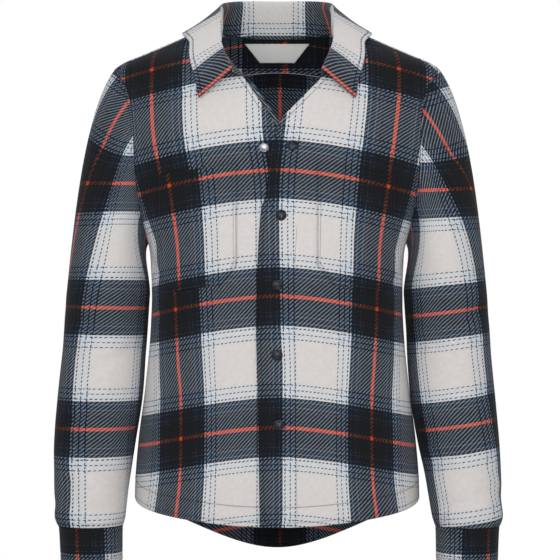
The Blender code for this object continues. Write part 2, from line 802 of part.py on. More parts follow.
def make_label(name, material):
    """Bare neck label, laid on the inside of the yoke at the centre back."""
    outer, inner = [], []
    for climb in steps(LABEL_ROWS):
        height = blend(LABEL_FOOT, LABEL_TOP, climb)
        half = blend(LABEL_FOOT_HALF, LABEL_TOP_HALF, climb)
        out_row, in_row = [], []
        for share in steps(LABEL_COLUMNS):
            across = blend(-half, half, share)
            width, _, back, square = sample(TORSO_RINGS, height)
            depth = back * (1.0 - (abs(across) / width) ** square) ** (1.0 / square)
            turn = degrees(atan2(across, -depth)) % 360.0
            point = torso_point(turn, height)
            normal = torso_normal(turn, height)
            out_row.append(point - normal * (WALL + LAID_ON))
            in_row.append(point - normal * (WALL + LAID_ON + LABEL_WALL))
        outer.append(out_row)
        inner.append(in_row)
    return cloth_wall(name, outer, inner, material)


def make_snaps(cap_material, stud_material):
    """Domed caps down the left front, and the bare stud on the right front at the open neck."""
    for index in range(SNAP_COUNT):
        height = SNAP_TOP - SNAP_PITCH * index
        across = edge_across(height, 1, 0.0) + SNAP_FROM_EDGE
        base = front_point(across, height, LAID_ON, 1)
        axis = torso_normal(front_turn(across, height), height)
        turned_piece(f"snap_cap_{index + 1}", CAP_PROFILE, base, axis, cap_material)
    base = front_point(STUD_ACROSS, STUD_HEIGHT, LAID_ON, -1)
    axis = torso_normal(front_turn(STUD_ACROSS, STUD_HEIGHT), STUD_HEIGHT)
    turned_piece("snap_stud", STUD_PROFILE, base, axis, stud_material)


def main():
    """Clear the scene and make every piece."""
    for item in list(bpy.data.objects):
        bpy.data.objects.remove(item, do_unlink=True)
    checks = {
        "back": (0.10, 0.12, 0.15),
        "yoke": (0.12, 0.13, 0.16),
        "front_left": (0.40, 0.42, 0.46),
        "front_right": (0.42, 0.44, 0.48),
        "collar": (0.62, 0.62, 0.64),
        "sleeve_left": (0.20, 0.24, 0.30),
        "sleeve_right": (0.22, 0.25, 0.31),
        "cuff_left": (0.10, 0.12, 0.15),
        "cuff_right": (0.11, 0.12, 0.15),
        "pocket_left": (0.35, 0.36, 0.40),
        "pocket_right": (0.36, 0.37, 0.41),
        "facing_right": (0.09, 0.10, 0.12),
    }
    cloth = {name: make_material(f"{name}_cloth", colour, 0.92) for name, colour in checks.items()}
    make_back("back", cloth["back"])
    make_yoke("yoke", cloth["yoke"])
    make_collar("collar", cloth["collar"])
    make_facing("facing_right", cloth["facing_right"])
    for word, side in (("left", 1), ("right", -1)):
        make_front(f"front_{word}", side, cloth[f"front_{word}"])
        make_sleeve(f"sleeve_{word}", side, cloth[f"sleeve_{word}"])
        make_cuff(f"cuff_{word}", side, cloth[f"cuff_{word}"])
        make_pocket(f"pocket_{word}", side, cloth[f"pocket_{word}"])
    make_label("neck_label", make_material("label_weave", (0.85, 0.85, 0.84), 0.80))
    caps = make_material("snap_gunmetal", (0.05, 0.05, 0.06), 0.38, 1.0)
    make_snaps(caps, make_material("snap_nickel", (0.62, 0.62, 0.62), 0.30, 1.0))


main()
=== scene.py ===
"""Looks of a plaid shirt-jacket: woven check, seams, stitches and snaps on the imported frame.

Lengths are in metres. The front faces -Y, the wearer's left is +X, and the origin is at the base
of the neck. A turn is an angle in degrees round the body from the front centre.
"""

import logging
import math
from dataclasses import dataclass, field
from enum import Enum
from typing import Sequence

import bpy
import numpy as np
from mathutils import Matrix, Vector


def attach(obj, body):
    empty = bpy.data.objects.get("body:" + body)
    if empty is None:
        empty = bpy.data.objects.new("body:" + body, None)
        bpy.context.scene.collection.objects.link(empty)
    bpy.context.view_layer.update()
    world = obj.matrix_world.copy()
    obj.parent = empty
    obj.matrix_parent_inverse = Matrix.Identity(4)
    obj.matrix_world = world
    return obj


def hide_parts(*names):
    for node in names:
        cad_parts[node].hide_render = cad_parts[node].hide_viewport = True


Array = np.ndarray
Colour = tuple[float, float, float]

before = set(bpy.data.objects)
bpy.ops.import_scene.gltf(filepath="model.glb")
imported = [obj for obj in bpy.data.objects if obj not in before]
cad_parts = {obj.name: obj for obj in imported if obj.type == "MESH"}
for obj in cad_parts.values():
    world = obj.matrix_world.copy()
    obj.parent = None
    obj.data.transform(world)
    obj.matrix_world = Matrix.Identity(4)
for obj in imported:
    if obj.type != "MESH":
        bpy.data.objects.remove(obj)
log = logging.getLogger("shacket")

SEED = 11


class Side(Enum):
    """Side of the garment, as its sign along X."""

    LEFT = 1
    RIGHT = -1

    @property
    def word(self) -> str:
        """Word of the side in the names of pieces."""
        return self.name.lower()


def blend(low: Array | float, high: Array | float, share: Array | float) -> Array | float:
    """Value at a share of the way from low to high."""
    return low + (high - low) * share


def ease(value: Array | float, start: float, end: float) -> Array:
    """Soft step from 0 at start to 1 at end."""
    share = np.clip((value - start) / (end - start), 0.0, 1.0)
    return share * share * (3.0 - 2.0 * share)


def unit(vectors: Array) -> Array:
    """Vectors scaled to a length of one."""
    size = np.linalg.norm(vectors, axis=-1, keepdims=True)
    return vectors / np.maximum(size, 1e-12)


def grid_normals(points: Array, tube: bool, flip: bool) -> Array:
    """Outward directions of a grid of points.

    Args:
        points: Rows by columns by three.
        tube: Whether the last column repeats the first one.
        flip: Whether rows and columns turn the other way round.

    Returns:
        Unit vectors of the same shape.
    """
    if tube:
        padded = np.concatenate([points[:, -2:-1], points, points[:, 1:2]], axis=1)
        along = (padded[:, 2:] - padded[:, :-2]) / 2.0
    else:
        along = np.gradient(points, axis=1)
    up = np.gradient(points, axis=0)
    normals = unit(np.cross(along, up))
    return -normals if flip else normals


class SmoothTable:
    """Columns that follow a key along a smooth curve through the rows of a table."""

    def __init__(self, rows: Sequence[Sequence[float]]) -> None:
        """Sort the rows by their first column, the key."""
        data = np.array(sorted(rows), dtype=float)
        self.keys = data[:, 0]
        self.values = data[:, 1:]

    def at(self, key: Array | float) -> list[Array]:
        """Columns at a key or at an array of keys.

        Args:
            key: Key or keys.

        Returns:
            One array for each column.
        """
        key = np.asarray(key, dtype=float)
        last = len(self.keys) - 1
        low = np.clip(np.searchsorted(self.keys, key) - 1, 0, last - 1)
        high = low + 1
        before = np.maximum(low - 1, 0)
        after = np.minimum(low + 2, last)
        span = self.keys[high] - self.keys[low]
        share = (key - self.keys[low]) / span
        inside = np.clip(share, 0.0, 1.0)
        rest = 1.0 - inside
        columns = []
        for column in self.values.T:
            slope_low = (column[high] - column[before]) / (self.keys[high] - self.keys[before]) * span
            slope_high = (column[after] - column[low]) / (self.keys[after] - self.keys[low]) * span
            value = column[low] * (1.0 + 2.0 * inside) * rest * rest
            value = value + column[high] * inside * inside * (3.0 - 2.0 * inside)
            value = value + slope_low * inside * rest * rest - slope_high * inside * inside * rest
            value = value + slope_low * np.minimum(share, 0.0) + slope_high * np.maximum(share - 1.0, 0.0)
            columns.append(value)
        return columns


@dataclass(frozen=True)
class Cloth:
    """Thickness and seams of the cloth."""

    wall: float = 0.002
    seam_gap: float = 0.0003
    mitre: float = 1.15
    laid_on: float = 0.0006
    pocket_wall: float = 0.0015
    pocket_lift: float = 0.0009
    facing_wall: float = 0.0013
    label_wall: float = 0.001
    edge_round: float = 0.0009
    thin_wall: float = 0.0018
    thin_round: float = 0.45
    edge_stitch: float = 0.006
    hem_stitch: float = 0.027
    placket_stitch: float = 0.05
    seam_stitch: float = 0.005
    yoke_stitch: float = 0.004
    pocket_stitch: float = 0.002
    pocket_second: float = 0.0075
    pocket_hem: float = 0.02
    label_stitch: float = 0.0018
    thread_lift: float = 0.00005


CLOTH = Cloth()


class Body:
    """Form of the trunk that every panel lies on."""

    RINGS = SmoothTable((
        # height, half width, depth to the front, depth to the back, squareness
        (-0.74, 0.199, 0.141, 0.145, 2.45),
        (-0.62, 0.198, 0.14, 0.141, 2.45),
        (-0.555, 0.193, 0.138, 0.137, 2.42),
        (-0.49, 0.1845, 0.136, 0.133, 2.4),
        (-0.42, 0.1775, 0.136, 0.131, 2.4),
        (-0.36, 0.175, 0.138, 0.133, 2.4),
        (-0.32, 0.176, 0.14, 0.136, 2.4),
        (-0.285, 0.18, 0.141, 0.139, 2.4),
        (-0.24, 0.2, 0.139, 0.139, 2.4),
        (-0.2, 0.217, 0.135, 0.136, 2.4),
        (-0.15, 0.23, 0.127, 0.131, 2.38),
        (-0.1, 0.2345, 0.114, 0.122, 2.32),
        (-0.07, 0.2335, 0.104, 0.115, 2.26),
        (-0.045, 0.229, 0.094, 0.107, 2.2),
        (-0.034, 0.2155, 0.087, 0.103, 2.18),
        (-0.022, 0.188, 0.078, 0.098, 2.16),
        (-0.011, 0.1625, 0.068, 0.093, 2.14),
        (0.004, 0.127, 0.058, 0.087, 2.12),
        (0.012, 0.1, 0.053, 0.084, 2.1),
        (0.016, 0.085, 0.05, 0.083, 2.1),
    ))
    NECK_TURN = 80.0
    NECK_HEIGHTS = SmoothTable((
        # turn from the front, height of the neck seam
        (80.0, 0.0148),
        (92.0, 0.016),
        (120.0, 0.0135),
        (150.0, 0.0105),
        (180.0, 0.009),
    ))
    ARC_TURNS = np.linspace(0.0, 180.0, 361)
    ARC_HEIGHTS = np.linspace(-0.75, 0.016, 160)

    def __init__(self) -> None:
        """Measure the lengths round the body once."""
        heights, turns = np.meshgrid(self.ARC_HEIGHTS, self.ARC_TURNS, indexing="ij")
        points = self.point(turns, heights)
        pieces = np.linalg.norm(np.diff(points, axis=1), axis=2)
        self.arcs = np.concatenate([np.zeros((len(self.ARC_HEIGHTS), 1)), np.cumsum(pieces, axis=1)], axis=1)

    def point(self, turn: Array | float, height: Array | float) -> Array:
        """Point of the cloth's outer face at a turn and a height.

        Args:
            turn: Degrees round from the front centre.
            height: Height.

        Returns:
            Points, coordinates last.
        """
        turn, height = np.broadcast_arrays(np.asarray(turn, float), np.asarray(height, float))
        width, front, back, square = self.RINGS.at(height)
        across = np.sin(np.radians(turn))
        along = np.cos(np.radians(turn))
        depth = np.where(along > 0.0, front, back)
        reach = (np.abs(across / width) ** square + np.abs(along / depth) ** square) ** (-1.0 / square)
        return np.stack([reach * across, -reach * along, height], axis=-1)

    def normal(self, turn: Array | float, height: Array | float) -> Array:
        """Outward direction of the cloth at a turn and a height.

        Args:
            turn: Degrees round from the front centre.
            height: Height.

        Returns:
            Unit vectors.
        """
        turn, height = np.broadcast_arrays(np.asarray(turn, float), np.asarray(height, float))
        round_step = self.point(turn + 0.4, height) - self.point(turn - 0.4, height)
        up_step = self.point(turn, height + 0.001) - self.point(turn, height - 0.001)
        return unit(np.cross(round_step, up_step))

    def front_turn(self, across: Array | float, height: Array | float) -> Array:
        """Turn of the point of the front that lies at a distance across from the middle."""
        width, front, _, square = self.RINGS.at(height)
        depth = front * (1.0 - np.minimum(np.abs(across) / width, 1.0) ** square) ** (1.0 / square)
        return np.degrees(np.arctan2(across, depth))

    def arc(self, turn: Array, height: Array) -> Array:
        """Length round the body from the front centre to a turn, at one height.

        Args:
            turn: Degrees round from the front centre.
            height: Height.

        Returns:
            Lengths.
        """
        folded = np.abs((np.asarray(turn) + 180.0) % 360.0 - 180.0)
        row = np.interp(height, self.ARC_HEIGHTS, np.arange(len(self.ARC_HEIGHTS)))
        column = folded / 180.0 * (len(self.ARC_TURNS) - 1)
        low_row = np.clip(row.astype(int), 0, len(self.ARC_HEIGHTS) - 2)
        low_column = np.clip(column.astype(int), 0, len(self.ARC_TURNS) - 2)
        row_share = row - low_row
        column_share = column - low_column
        below = blend(self.arcs[low_row, low_column], self.arcs[low_row, low_column + 1], column_share)
        next_row = low_row + 1
        above = blend(self.arcs[next_row, low_column], self.arcs[next_row, low_column + 1], column_share)
        return blend(below, above, row_share)

    def neck_seam(self, turn: Array, height: Array) -> tuple[Array, Array, Array]:
        """Outer and inner points of the neck seam, and the directions across it to the collar.

        Args:
            turn: Degrees round from the front centre.
            height: Height.

        Returns:
            Outer points, inner points and unit vectors.
        """
        point = self.point(turn, height)
        flat = point * np.array([-1.0, -1.0, 0.0])
        inward = unit(unit(flat) - self.normal(turn, height))
        tangent = np.stack([-point[..., 1], point[..., 0], np.zeros_like(point[..., 0])], axis=-1)
        over = unit(np.cross(tangent, inward))
        over = over * np.where(over[..., 2:] < 0.0, -1.0, 1.0)
        return point, point + inward * CLOTH.wall * CLOTH.mitre, over


class Armhole:
    """Rounded loop where a sleeve is set in: place 90 is the shoulder, 0 the front, -90 the armpit."""

    MIDDLE = -0.165
    RISE = 0.12
    SPREAD = 22.0
    POWER = 0.91
    CENTRE = np.array([0.205, 0.0, -0.165])
    SHOULDER_SEAM = 72.0
    YOKE_SEAM = 130.0

    def __init__(self, body: Body) -> None:
        """Keep the body that the loop lies on."""
        self.body = body

    @property
    def armpit(self) -> float:
        """Height of the armhole's lowest point."""
        return self.MIDDLE - self.RISE

    def place(self, place: Array | float) -> tuple[Array, Array]:
        """Turn and height of a place on the wearer's left armhole.

        Args:
            place: Degrees round the armhole.

        Returns:
            Turn and height.
        """
        along = np.cos(np.radians(place))
        up = np.sin(np.radians(place))
        turn = 90.0 - self.SPREAD * np.sign(along) * np.abs(along) ** self.POWER
        height = self.MIDDLE + self.RISE * np.sign(up) * np.abs(up) ** self.POWER
        return turn, height

    def seam(self, place: Array, side: Side) -> tuple[Array, Array, Array]:
        """Outer and inner points of the seam, and the directions across it to the sleeve.

        Args:
            place: Degrees round the armhole.
            side: Side of the garment.

        Returns:
            Outer points, inner points and unit vectors.
        """
        place = np.asarray(place, float)
        point = self.body.point(*self.place(place))
        ahead = self.body.point(*self.place(place + 1.0)) - self.body.point(*self.place(place - 1.0))
        inward = unit(self.CENTRE - point)
        over = unit(np.cross(ahead, inward))
        over = over * np.where(over[..., :1] < 0.0, -1.0, 1.0)
        mirror = np.array([side.value, 1.0, 1.0])
        return point * mirror, (point + inward * CLOTH.wall) * mirror, over * mirror


BODY = Body()
ARMHOLE = Armhole(BODY)


@dataclass(frozen=True)
class Fold:
    """Soft trough of the cloth; a negative depth is a ridge.

    Attributes:
        across: Middle along the panel's first direction.
        up: Middle along its second direction.
        angle: Degrees from level.
        half_length: Reach along the trough.
        half_width: Reach across it.
        depth: How far it sinks.
        bend: How far its ends rise from its middle.
    """

    across: float
    up: float
    angle: float
    half_length: float
    half_width: float
    depth: float
    bend: float = 0.0

    def sink(self, across: Array, up: Array) -> Array:
        """Depth of the trough at points of the panel.

        Args:
            across: Places along the panel's first direction.
            up: Places along its second direction.

        Returns:
            Depths.
        """
        turn = math.radians(self.angle)
        along = (across - self.across) * math.cos(turn) + (up - self.up) * math.sin(turn)
        off = (up - self.up) * math.cos(turn) - (across - self.across) * math.sin(turn)
        reach = np.clip(along / self.half_length, -1.0, 1.0)
        off = off - self.bend * reach * reach
        fade = (1.0 - reach * reach) ** 2
        return self.depth * fade * np.exp(-((off / self.half_width) ** 2))


def edged_shares(count: int, length: float) -> Array:
    """Shares from 0 to 1 that crowd near both ends, where an edge rolls over.

    Args:
        count: Cells between the edges.
        length: Length that the shares run over.

    Returns:
        Shares with both ends.
    """
    rolls = np.array([0.0, 0.0003, 0.0008, 0.0016]) / length
    middle = np.linspace(rolls[-1], 1.0 - rolls[-1], count + 1)
    return np.concatenate([rolls[:-1], middle, 1.0 - rolls[:-1][::-1]])


@dataclass
class Panel:
    """Dense grid of one piece of cloth.

    Attributes:
        name: Name of the piece.
        points: Outer face, rows by columns by three; a tube's last column repeats its first.
        inward: Directions into the wall, of about unit length.
        weave: Place on the cloth, across and up.
        wall: Thickness.
        tube: Whether the rows close on themselves.
        hem: Which row edge is a turned hem: "low", "high" or none.
    """

    name: str
    points: Array
    inward: Array
    weave: Array
    wall: float = CLOTH.wall
    tube: bool = False
    hem: str = ""
    ups: Array = field(init=False)
    rounds: Array = field(init=False)

    def __post_init__(self) -> None:
        """Measure the grid along its columns and its rows."""
        up_steps = np.linalg.norm(np.diff(self.points, axis=0), axis=2)
        round_steps = np.linalg.norm(np.diff(self.points, axis=1), axis=2)
        self.ups = np.concatenate([np.zeros((1, up_steps.shape[1])), np.cumsum(up_steps, axis=0)])
        starts = np.zeros((round_steps.shape[0], 1))
        self.rounds = np.concatenate([starts, np.cumsum(round_steps, axis=1)], axis=1)

    def rim_distance(self) -> Array:
        """Distance of each point from the nearest edge.

        Returns:
            One distance for each point.
        """
        distance = np.minimum(self.ups, self.ups[-1:] - self.ups)
        if not self.tube:
            distance = np.minimum(distance, self.rounds)
            distance = np.minimum(distance, self.rounds[:, -1:] - self.rounds)
        return distance

    def hem_distance(self) -> Array:
        """Distance of each point from the turned hem, or far away where there is none.

        Returns:
            One distance for each point.
        """
        if self.hem == "low":
            return self.ups
        if self.hem == "high":
            return self.ups[-1:] - self.ups
        return np.full_like(self.ups, 1.0)

    def sink(self, depth: Array, fade: float = 0.01) -> None:
        """Push the outer face in by a depth that fades out at the edges."""
        share = ease(self.rim_distance(), 0.0, fade)
        self.points = self.points + self.inward * (depth * share)[..., None]

    def trace(self, row: Array, column: Array, lift: float) -> Array:
        """Points over the outer face at fractional rows and columns.

        Args:
            row: Fractional rows.
            column: Fractional columns.
            lift: How far outside the outer face.

        Returns:
            Points.
        """
        rows, columns = self.points.shape[:2]
        row = np.clip(row, 0.0, rows - 1.001)
        column = np.clip(column, 0.0, columns - 1.001)
        low_row, low_column = row.astype(int), column.astype(int)
        along = (column - low_column)[:, None]
        found = []
        for grid in (self.points, self.inward):
            below = blend(grid[low_row, low_column], grid[low_row, low_column + 1], along)
            above = blend(grid[low_row + 1, low_column], grid[low_row + 1, low_column + 1], along)
            found.append(blend(below, above, (row - low_row)[:, None]))
        return found[0] - unit(found[1]) * lift

    def line_up(self, distance: float, lift: float, from_end: bool = False) -> Array:
        """Line that follows the first or last column at a distance from it.

        Args:
            distance: How far from the edge.
            lift: How far outside the outer face.
            from_end: Whether from the last column.

        Returns:
            Points of the line.
        """
        rows = self.points.shape[0]
        columns = np.arange(self.points.shape[1])
        places = []
        for row in range(rows):
            target = self.rounds[row, -1] - distance if from_end else distance
            places.append(np.interp(target, self.rounds[row], columns))
        return self.trace(np.arange(rows, dtype=float), np.array(places), lift)

    def line_round(self, distance: float, lift: float, from_top: bool = False) -> Array:
        """Line that follows the first or last row at a distance from it.

        Args:
            distance: How far from the edge.
            lift: How far outside the outer face.
            from_top: Whether from the last row.

        Returns:
            Points of the line.
        """
        columns = self.points.shape[1]
        rows = np.arange(self.points.shape[0])
        places = []
        for column in range(columns):
            target = self.ups[-1, column] - distance if from_top else distance
            places.append(np.interp(target, self.ups[:, column], rows))
        return self.trace(np.array(places), np.arange(columns, dtype=float), lift)

    def build(self, material: bpy.types.Material) -> bpy.types.Object:
        """Closed wall of cloth with rolled edges.

        Args:
            material: Finish of the whole piece.

        Returns:
            The object, with UV maps "cloth" and "seam".
        """
        distance = self.rim_distance()
        turn = CLOTH.edge_round if self.wall > CLOTH.thin_wall else self.wall * CLOTH.thin_round
        near = np.clip(turn - distance, 0.0, turn)
        drop = turn - np.sqrt(turn * turn - near * near)
        outer = self.points + self.inward * drop[..., None]
        inner = self.points + self.inward * (self.wall - drop)[..., None]
        rows, columns = distance.shape
        used = columns - 1 if self.tube else columns
        count = rows * used
        co = np.concatenate([outer[:, :used].reshape(-1, 3), inner[:, :used].reshape(-1, 3)])

        row, column = np.meshgrid(np.arange(rows - 1), np.arange(columns - 1), indexing="ij")
        cell = [(row, column), (row, column + 1), (row + 1, column + 1), (row + 1, column)]
        quads = [[(0, *corner) for corner in cell], [(1, *corner) for corner in cell[::-1]]]
        ring = np.arange(columns - 1)
        for edge_row, order in ((0, 1), (rows - 1, -1)):
            level = np.full_like(ring, edge_row)
            band = [(1, level, ring), (1, level, ring + 1), (0, level, ring + 1), (0, level, ring)]
            quads.append(band[::order])
        if not self.tube:
            rung = np.arange(rows - 1)
            for edge_column, order in ((0, 1), (columns - 1, -1)):
                post = np.full_like(rung, edge_column)
                band = [(0, rung, post), (0, rung + 1, post), (1, rung + 1, post), (1, rung, post)]
                quads.append(band[::order])

        corners, places = [], []
        for quad in quads:
            found = [(layer * count + r * used + c % used).ravel() for layer, r, c in quad]
            corners.append(np.stack(found, 1))
            places.append(np.stack([(r * columns + c).ravel() for _, r, c in quad], 1))
        faces = np.concatenate(corners)
        spots = np.concatenate(places)
        span = np.cross(co[faces[:, 1]] - co[faces[:, 0]], co[faces[:, 3]] - co[faces[:, 0]])
        first = (rows - 1) * (columns - 1)
        outwards = -self.inward.reshape(-1, 3)[spots[:first, 0]]
        if np.sum(span[:first] * outwards) < 0.0:
            faces, spots = faces[:, ::-1], spots[:, ::-1]

        mesh = bpy.data.meshes.new(self.name)
        mesh.vertices.add(len(co))
        mesh.vertices.foreach_set("co", co.ravel())
        mesh.loops.add(faces.size)
        mesh.loops.foreach_set("vertex_index", faces.ravel().astype(np.int32))
        mesh.polygons.add(len(faces))
        mesh.polygons.foreach_set("loop_start", np.arange(0, faces.size, 4, dtype=np.int32))
        mesh.update(calc_edges=True)
        seam = np.stack([distance, self.hem_distance()], axis=-1)
        for layer, grid in (("cloth", self.weave), ("seam", seam)):
            data = mesh.uv_layers.new(name=layer).data
            data.foreach_set("uv", grid.reshape(-1, 2)[spots.ravel()].ravel().astype(np.float32))
        mesh.materials.append(material)
        mesh.shade_smooth()
        mesh.validate()
        return link(self.name, mesh)


def link(name: str, mesh: bpy.types.Mesh) -> bpy.types.Object:
    """New object of a mesh in the scene."""
    piece = bpy.data.objects.new(name, mesh)
    bpy.context.scene.collection.objects.link(piece)
    return piece


class Sett:
    """Measures of the check and where its lines fall on the body, in metres of cloth."""

    REPEAT = 0.172
    FRONT_LINES = SmoothTable((
        # height after levelling, place up the cloth in repeats
        (-0.877, -4.0),
        (-0.705, -3.0),
        (-0.533, -2.0),
        (-0.3574, -1.0),
        (-0.1886, 0.0),
        (-0.0994, 0.5),
        (-0.022, 1.0),
        (0.133, 2.0),
    ))
    LEVEL_RISE = 0.031
    LEVEL_REACH = 0.19
    LEVEL_POWER = 1.6
    WHITE_WARP = SmoothTable((
        # height, middle of the white warp on the wearer's left, on the right
        (-0.7, 0.0535, 0.056),
        (-0.4, 0.0535, 0.056),
        (-0.32, 0.0535, 0.059),
        (-0.26, 0.054, 0.0603),
        (-0.2, 0.057, 0.064),
        (-0.14, 0.064, 0.073),
        (-0.08, 0.07, 0.0753),
        (0.02, 0.07, 0.0753),
    ))
    WARP_SPREAD = SmoothTable((
        # height, cloth for each metre round the body
        (-0.7, 1.0),
        (-0.667, 1.0),
        (-0.6, 1.1),
        (-0.5, 1.09),
        (-0.45, 1.02),
        (-0.4, 0.97),
        (-0.28, 0.93),
        (-0.2, 0.885),
        (-0.1, 0.87),
        (0.02, 0.87),
    ))
    INNER_SPREAD = 1.02

    @classmethod
    def height(cls, points: Array) -> Array:
        """Place up the cloth of points on the trunk."""
        share = np.abs(points[..., 0]) / cls.LEVEL_REACH
        level = points[..., 2] + cls.LEVEL_RISE * share ** cls.LEVEL_POWER
        return cls.FRONT_LINES.at(level)[0] * cls.REPEAT

    @classmethod
    def front(cls, turn: Array, height: Array, points: Array, side: Side) -> Array:
        """Place on the cloth of points on a front.

        Args:
            turn: Degrees round from the front centre.
            height: Height.
            points: Points on the cloth.
            side: Side of the garment.

        Returns:
            Places across and up the cloth.
        """
        left, right = cls.WHITE_WARP.at(height)
        middle = left if side is Side.LEFT else right
        start = BODY.arc(BODY.front_turn(middle, height), height)
        arc = BODY.arc(turn, height) * np.sign(turn * side.value)
        spread = cls.WARP_SPREAD.at(height)[0]
        spread = np.where(arc < start, np.minimum(spread, cls.INNER_SPREAD), spread)
        across = cls.REPEAT / 2.0 + (arc - start) * spread
        return np.stack([across * side.value, cls.height(points)], axis=-1)


@dataclass
class Front:
    """One front: free edge, curved hem, side seam, armhole, shoulder seam and neck seam."""

    side: Side
    edges: SmoothTable = SmoothTable((
        # height, wearer's left, wearer's right
        (-0.67, -0.023, 0.031),
        (-0.497, -0.0255, 0.031),
        (-0.399, -0.028, 0.031),
        (-0.312, -0.026, 0.031),
        (-0.24, -0.021, 0.025),
        (-0.222, -0.015, 0.021),
        (-0.166, -0.0085, 0.012),
        (-0.145, -0.0035, 0.008),
        (-0.121, 0.004, 0.003),
        (-0.09, 0.033, -0.018),
        (-0.061, 0.0607, -0.037),
    ))
    NECK = (
        # height, across on the wearer's left, across on the wearer's right
        (-0.061, 0.0607, 0.045),
        (-0.038, 0.0715, 0.064),
        (-0.014, 0.078, 0.078),
        (0.004, 0.0815, 0.0815),
    )
    hem_side: float = -0.633
    hem_drop: float = 0.034
    hem_power: float = 0.85
    opening_foot: float = -0.121
    neck_foot: float = -0.061
    lap_depth: float = 0.0032
    facing_shows: float = 0.008
    FOLDS = {
        Side.LEFT: (
            # around the body from the front centre, height
            Fold(0.205, -0.33, 35.0, 0.06, 0.009, 0.0026, 0.004),
            Fold(0.21, -0.395, 24.0, 0.055, 0.01, 0.0022, 0.003),
            Fold(0.19, -0.3, 52.0, 0.05, 0.009, 0.0022, -0.003),
            Fold(0.12, -0.47, 80.0, 0.11, 0.016, 0.002, 0.006),
            Fold(0.175, -0.54, 84.0, 0.09, 0.014, -0.0018, -0.005),
            Fold(0.06, -0.56, 86.0, 0.08, 0.015, 0.0014, 0.004),
            Fold(0.13, -0.085, 28.0, 0.06, 0.01, 0.0014, 0.003),
        ),
        Side.RIGHT: (
            Fold(0.2, -0.322, 38.0, 0.055, 0.009, 0.0028, 0.004),
            Fold(0.208, -0.38, 20.0, 0.06, 0.01, 0.002, 0.003),
            Fold(0.185, -0.295, 60.0, 0.045, 0.008, 0.002, -0.003),
            Fold(0.115, -0.45, 78.0, 0.1, 0.017, 0.0022, -0.006),
            Fold(0.17, -0.52, 83.0, 0.095, 0.013, -0.002, 0.005),
            Fold(0.07, -0.54, 88.0, 0.09, 0.014, 0.0014, 0.003),
            Fold(0.135, -0.08, 32.0, 0.055, 0.01, 0.0014, 0.002),
        ),
    }

    def __post_init__(self) -> None:
        """Lay out the dense grid of the front on one side."""
        self.name = f"front_{self.side.word}"
        self.panel = self.make_panel()

    @classmethod
    def hem_height(cls, turn: Array) -> Array:
        """Height of the curved hem at a turn."""
        return cls.hem_side - cls.hem_drop * np.maximum(np.cos(np.radians(turn)), 0.0) ** cls.hem_power

    @classmethod
    def edge_across(cls, height: Array, side: Side, set_back: float) -> Array:
        """Distance across of the free edge; the facing shows past it on the wearer's right.

        Args:
            height: Height.
            side: Side of the garment.
            set_back: How far the edge lies behind the facing's.

        Returns:
            Distance from the middle.
        """
        left, right = cls.edges.at(height)
        if side is Side.LEFT:
            return left
        return right - set_back * ease(height, -0.15, -0.125)

    @classmethod
    def lap(cls, across: Array, height: Array) -> Array:
        """How far the wearer's right front sinks under the left one."""
        return cls.lap_depth * ease(across, -0.055, -0.03) * (1.0 - ease(height, -0.125, -0.09))

    @classmethod
    def on_front(cls, across: Array, height: Array, lift: float, side: Side) -> tuple[Array, Array, Array]:
        """Points lifted off a front, their inward directions and their turns.

        Args:
            across: Distance from the middle.
            height: Height.
            lift: How far outside the cloth.
            side: Side of the garment.

        Returns:
            Points, inward directions and turns.
        """
        turn = BODY.front_turn(across, height)
        normal = BODY.normal(turn, height)
        lifts = np.full_like(turn, lift)
        if side is Side.RIGHT:
            lifts = lifts - cls.lap(across, height)
        return BODY.point(turn, height) + normal * lifts[..., None], -normal, turn

    def start_column(self, key: Array) -> tuple[Array, Array]:
        """Turn and height along the free edge and the neck; key runs from 0 at the hem to 19.

        Args:
            key: Keys up the edge.

        Returns:
            Turns and heights.
        """
        sign = self.side.value
        foot = float(self.hem_height(np.array(0.0)))
        height = np.interp(
            key, (0.0, 9.0, 13.0, 15.0), (foot, ARMHOLE.armpit, self.opening_foot, self.neck_foot)
        )
        turn = BODY.front_turn(self.edge_across(height, self.side, self.facing_shows), height)
        rows = []
        for index, (level, left, right) in enumerate(self.NECK):
            across = left if self.side is Side.LEFT else -right
            rows.append((15.0 + index, float(BODY.front_turn(across, level)), level))
        rows.append((19.0, sign * BODY.NECK_TURN, 0.0148))
        neck_turn, neck_height = SmoothTable(rows).at(key)
        above = key > 15.0
        return np.where(above, neck_turn, turn), np.where(above, neck_height, height)

    def make_panel(self) -> Panel:
        """Dense grid with its check and its folds.

        Returns:
            The panel.
        """
        sign = self.side.value
        body = edged_shares(104, 0.382)[:-3] * 9.0
        opening = 9.0 + edged_shares(76, 0.23)[4:] * 10.0
        key = np.concatenate([body, opening])[:, None]
        share = edged_shares(70, 0.19)[None, :]
        start_turn, start_height = self.start_column(key)
        place = blend(-90.0, ARMHOLE.SHOULDER_SEAM, np.maximum(key - 9.0, 0.0) / 10.0)
        hole_turn, hole_height = ARMHOLE.place(place)
        low = key <= 9.0
        end_turn = sign * np.where(low, 90.0, hole_turn)
        end_height = np.where(low, blend(self.hem_side, ARMHOLE.armpit, key / 9.0), hole_height)
        turn = blend(start_turn, end_turn, share)
        height = blend(start_height, end_height, share)
        foot = float(self.hem_height(np.array(0.0)))
        straight = blend(foot, self.hem_side, share)
        height = height + (self.hem_height(turn) - straight) * np.clip(1.0 - key / 9.0, 0.0, 1.0)
        points = BODY.point(turn, height)
        normals = BODY.normal(turn, height)
        if self.side is Side.RIGHT:
            points = points - normals * self.lap(points[..., 0], height)[..., None]
        weave = Sett.front(turn, height, points, self.side)
        inward = -normals

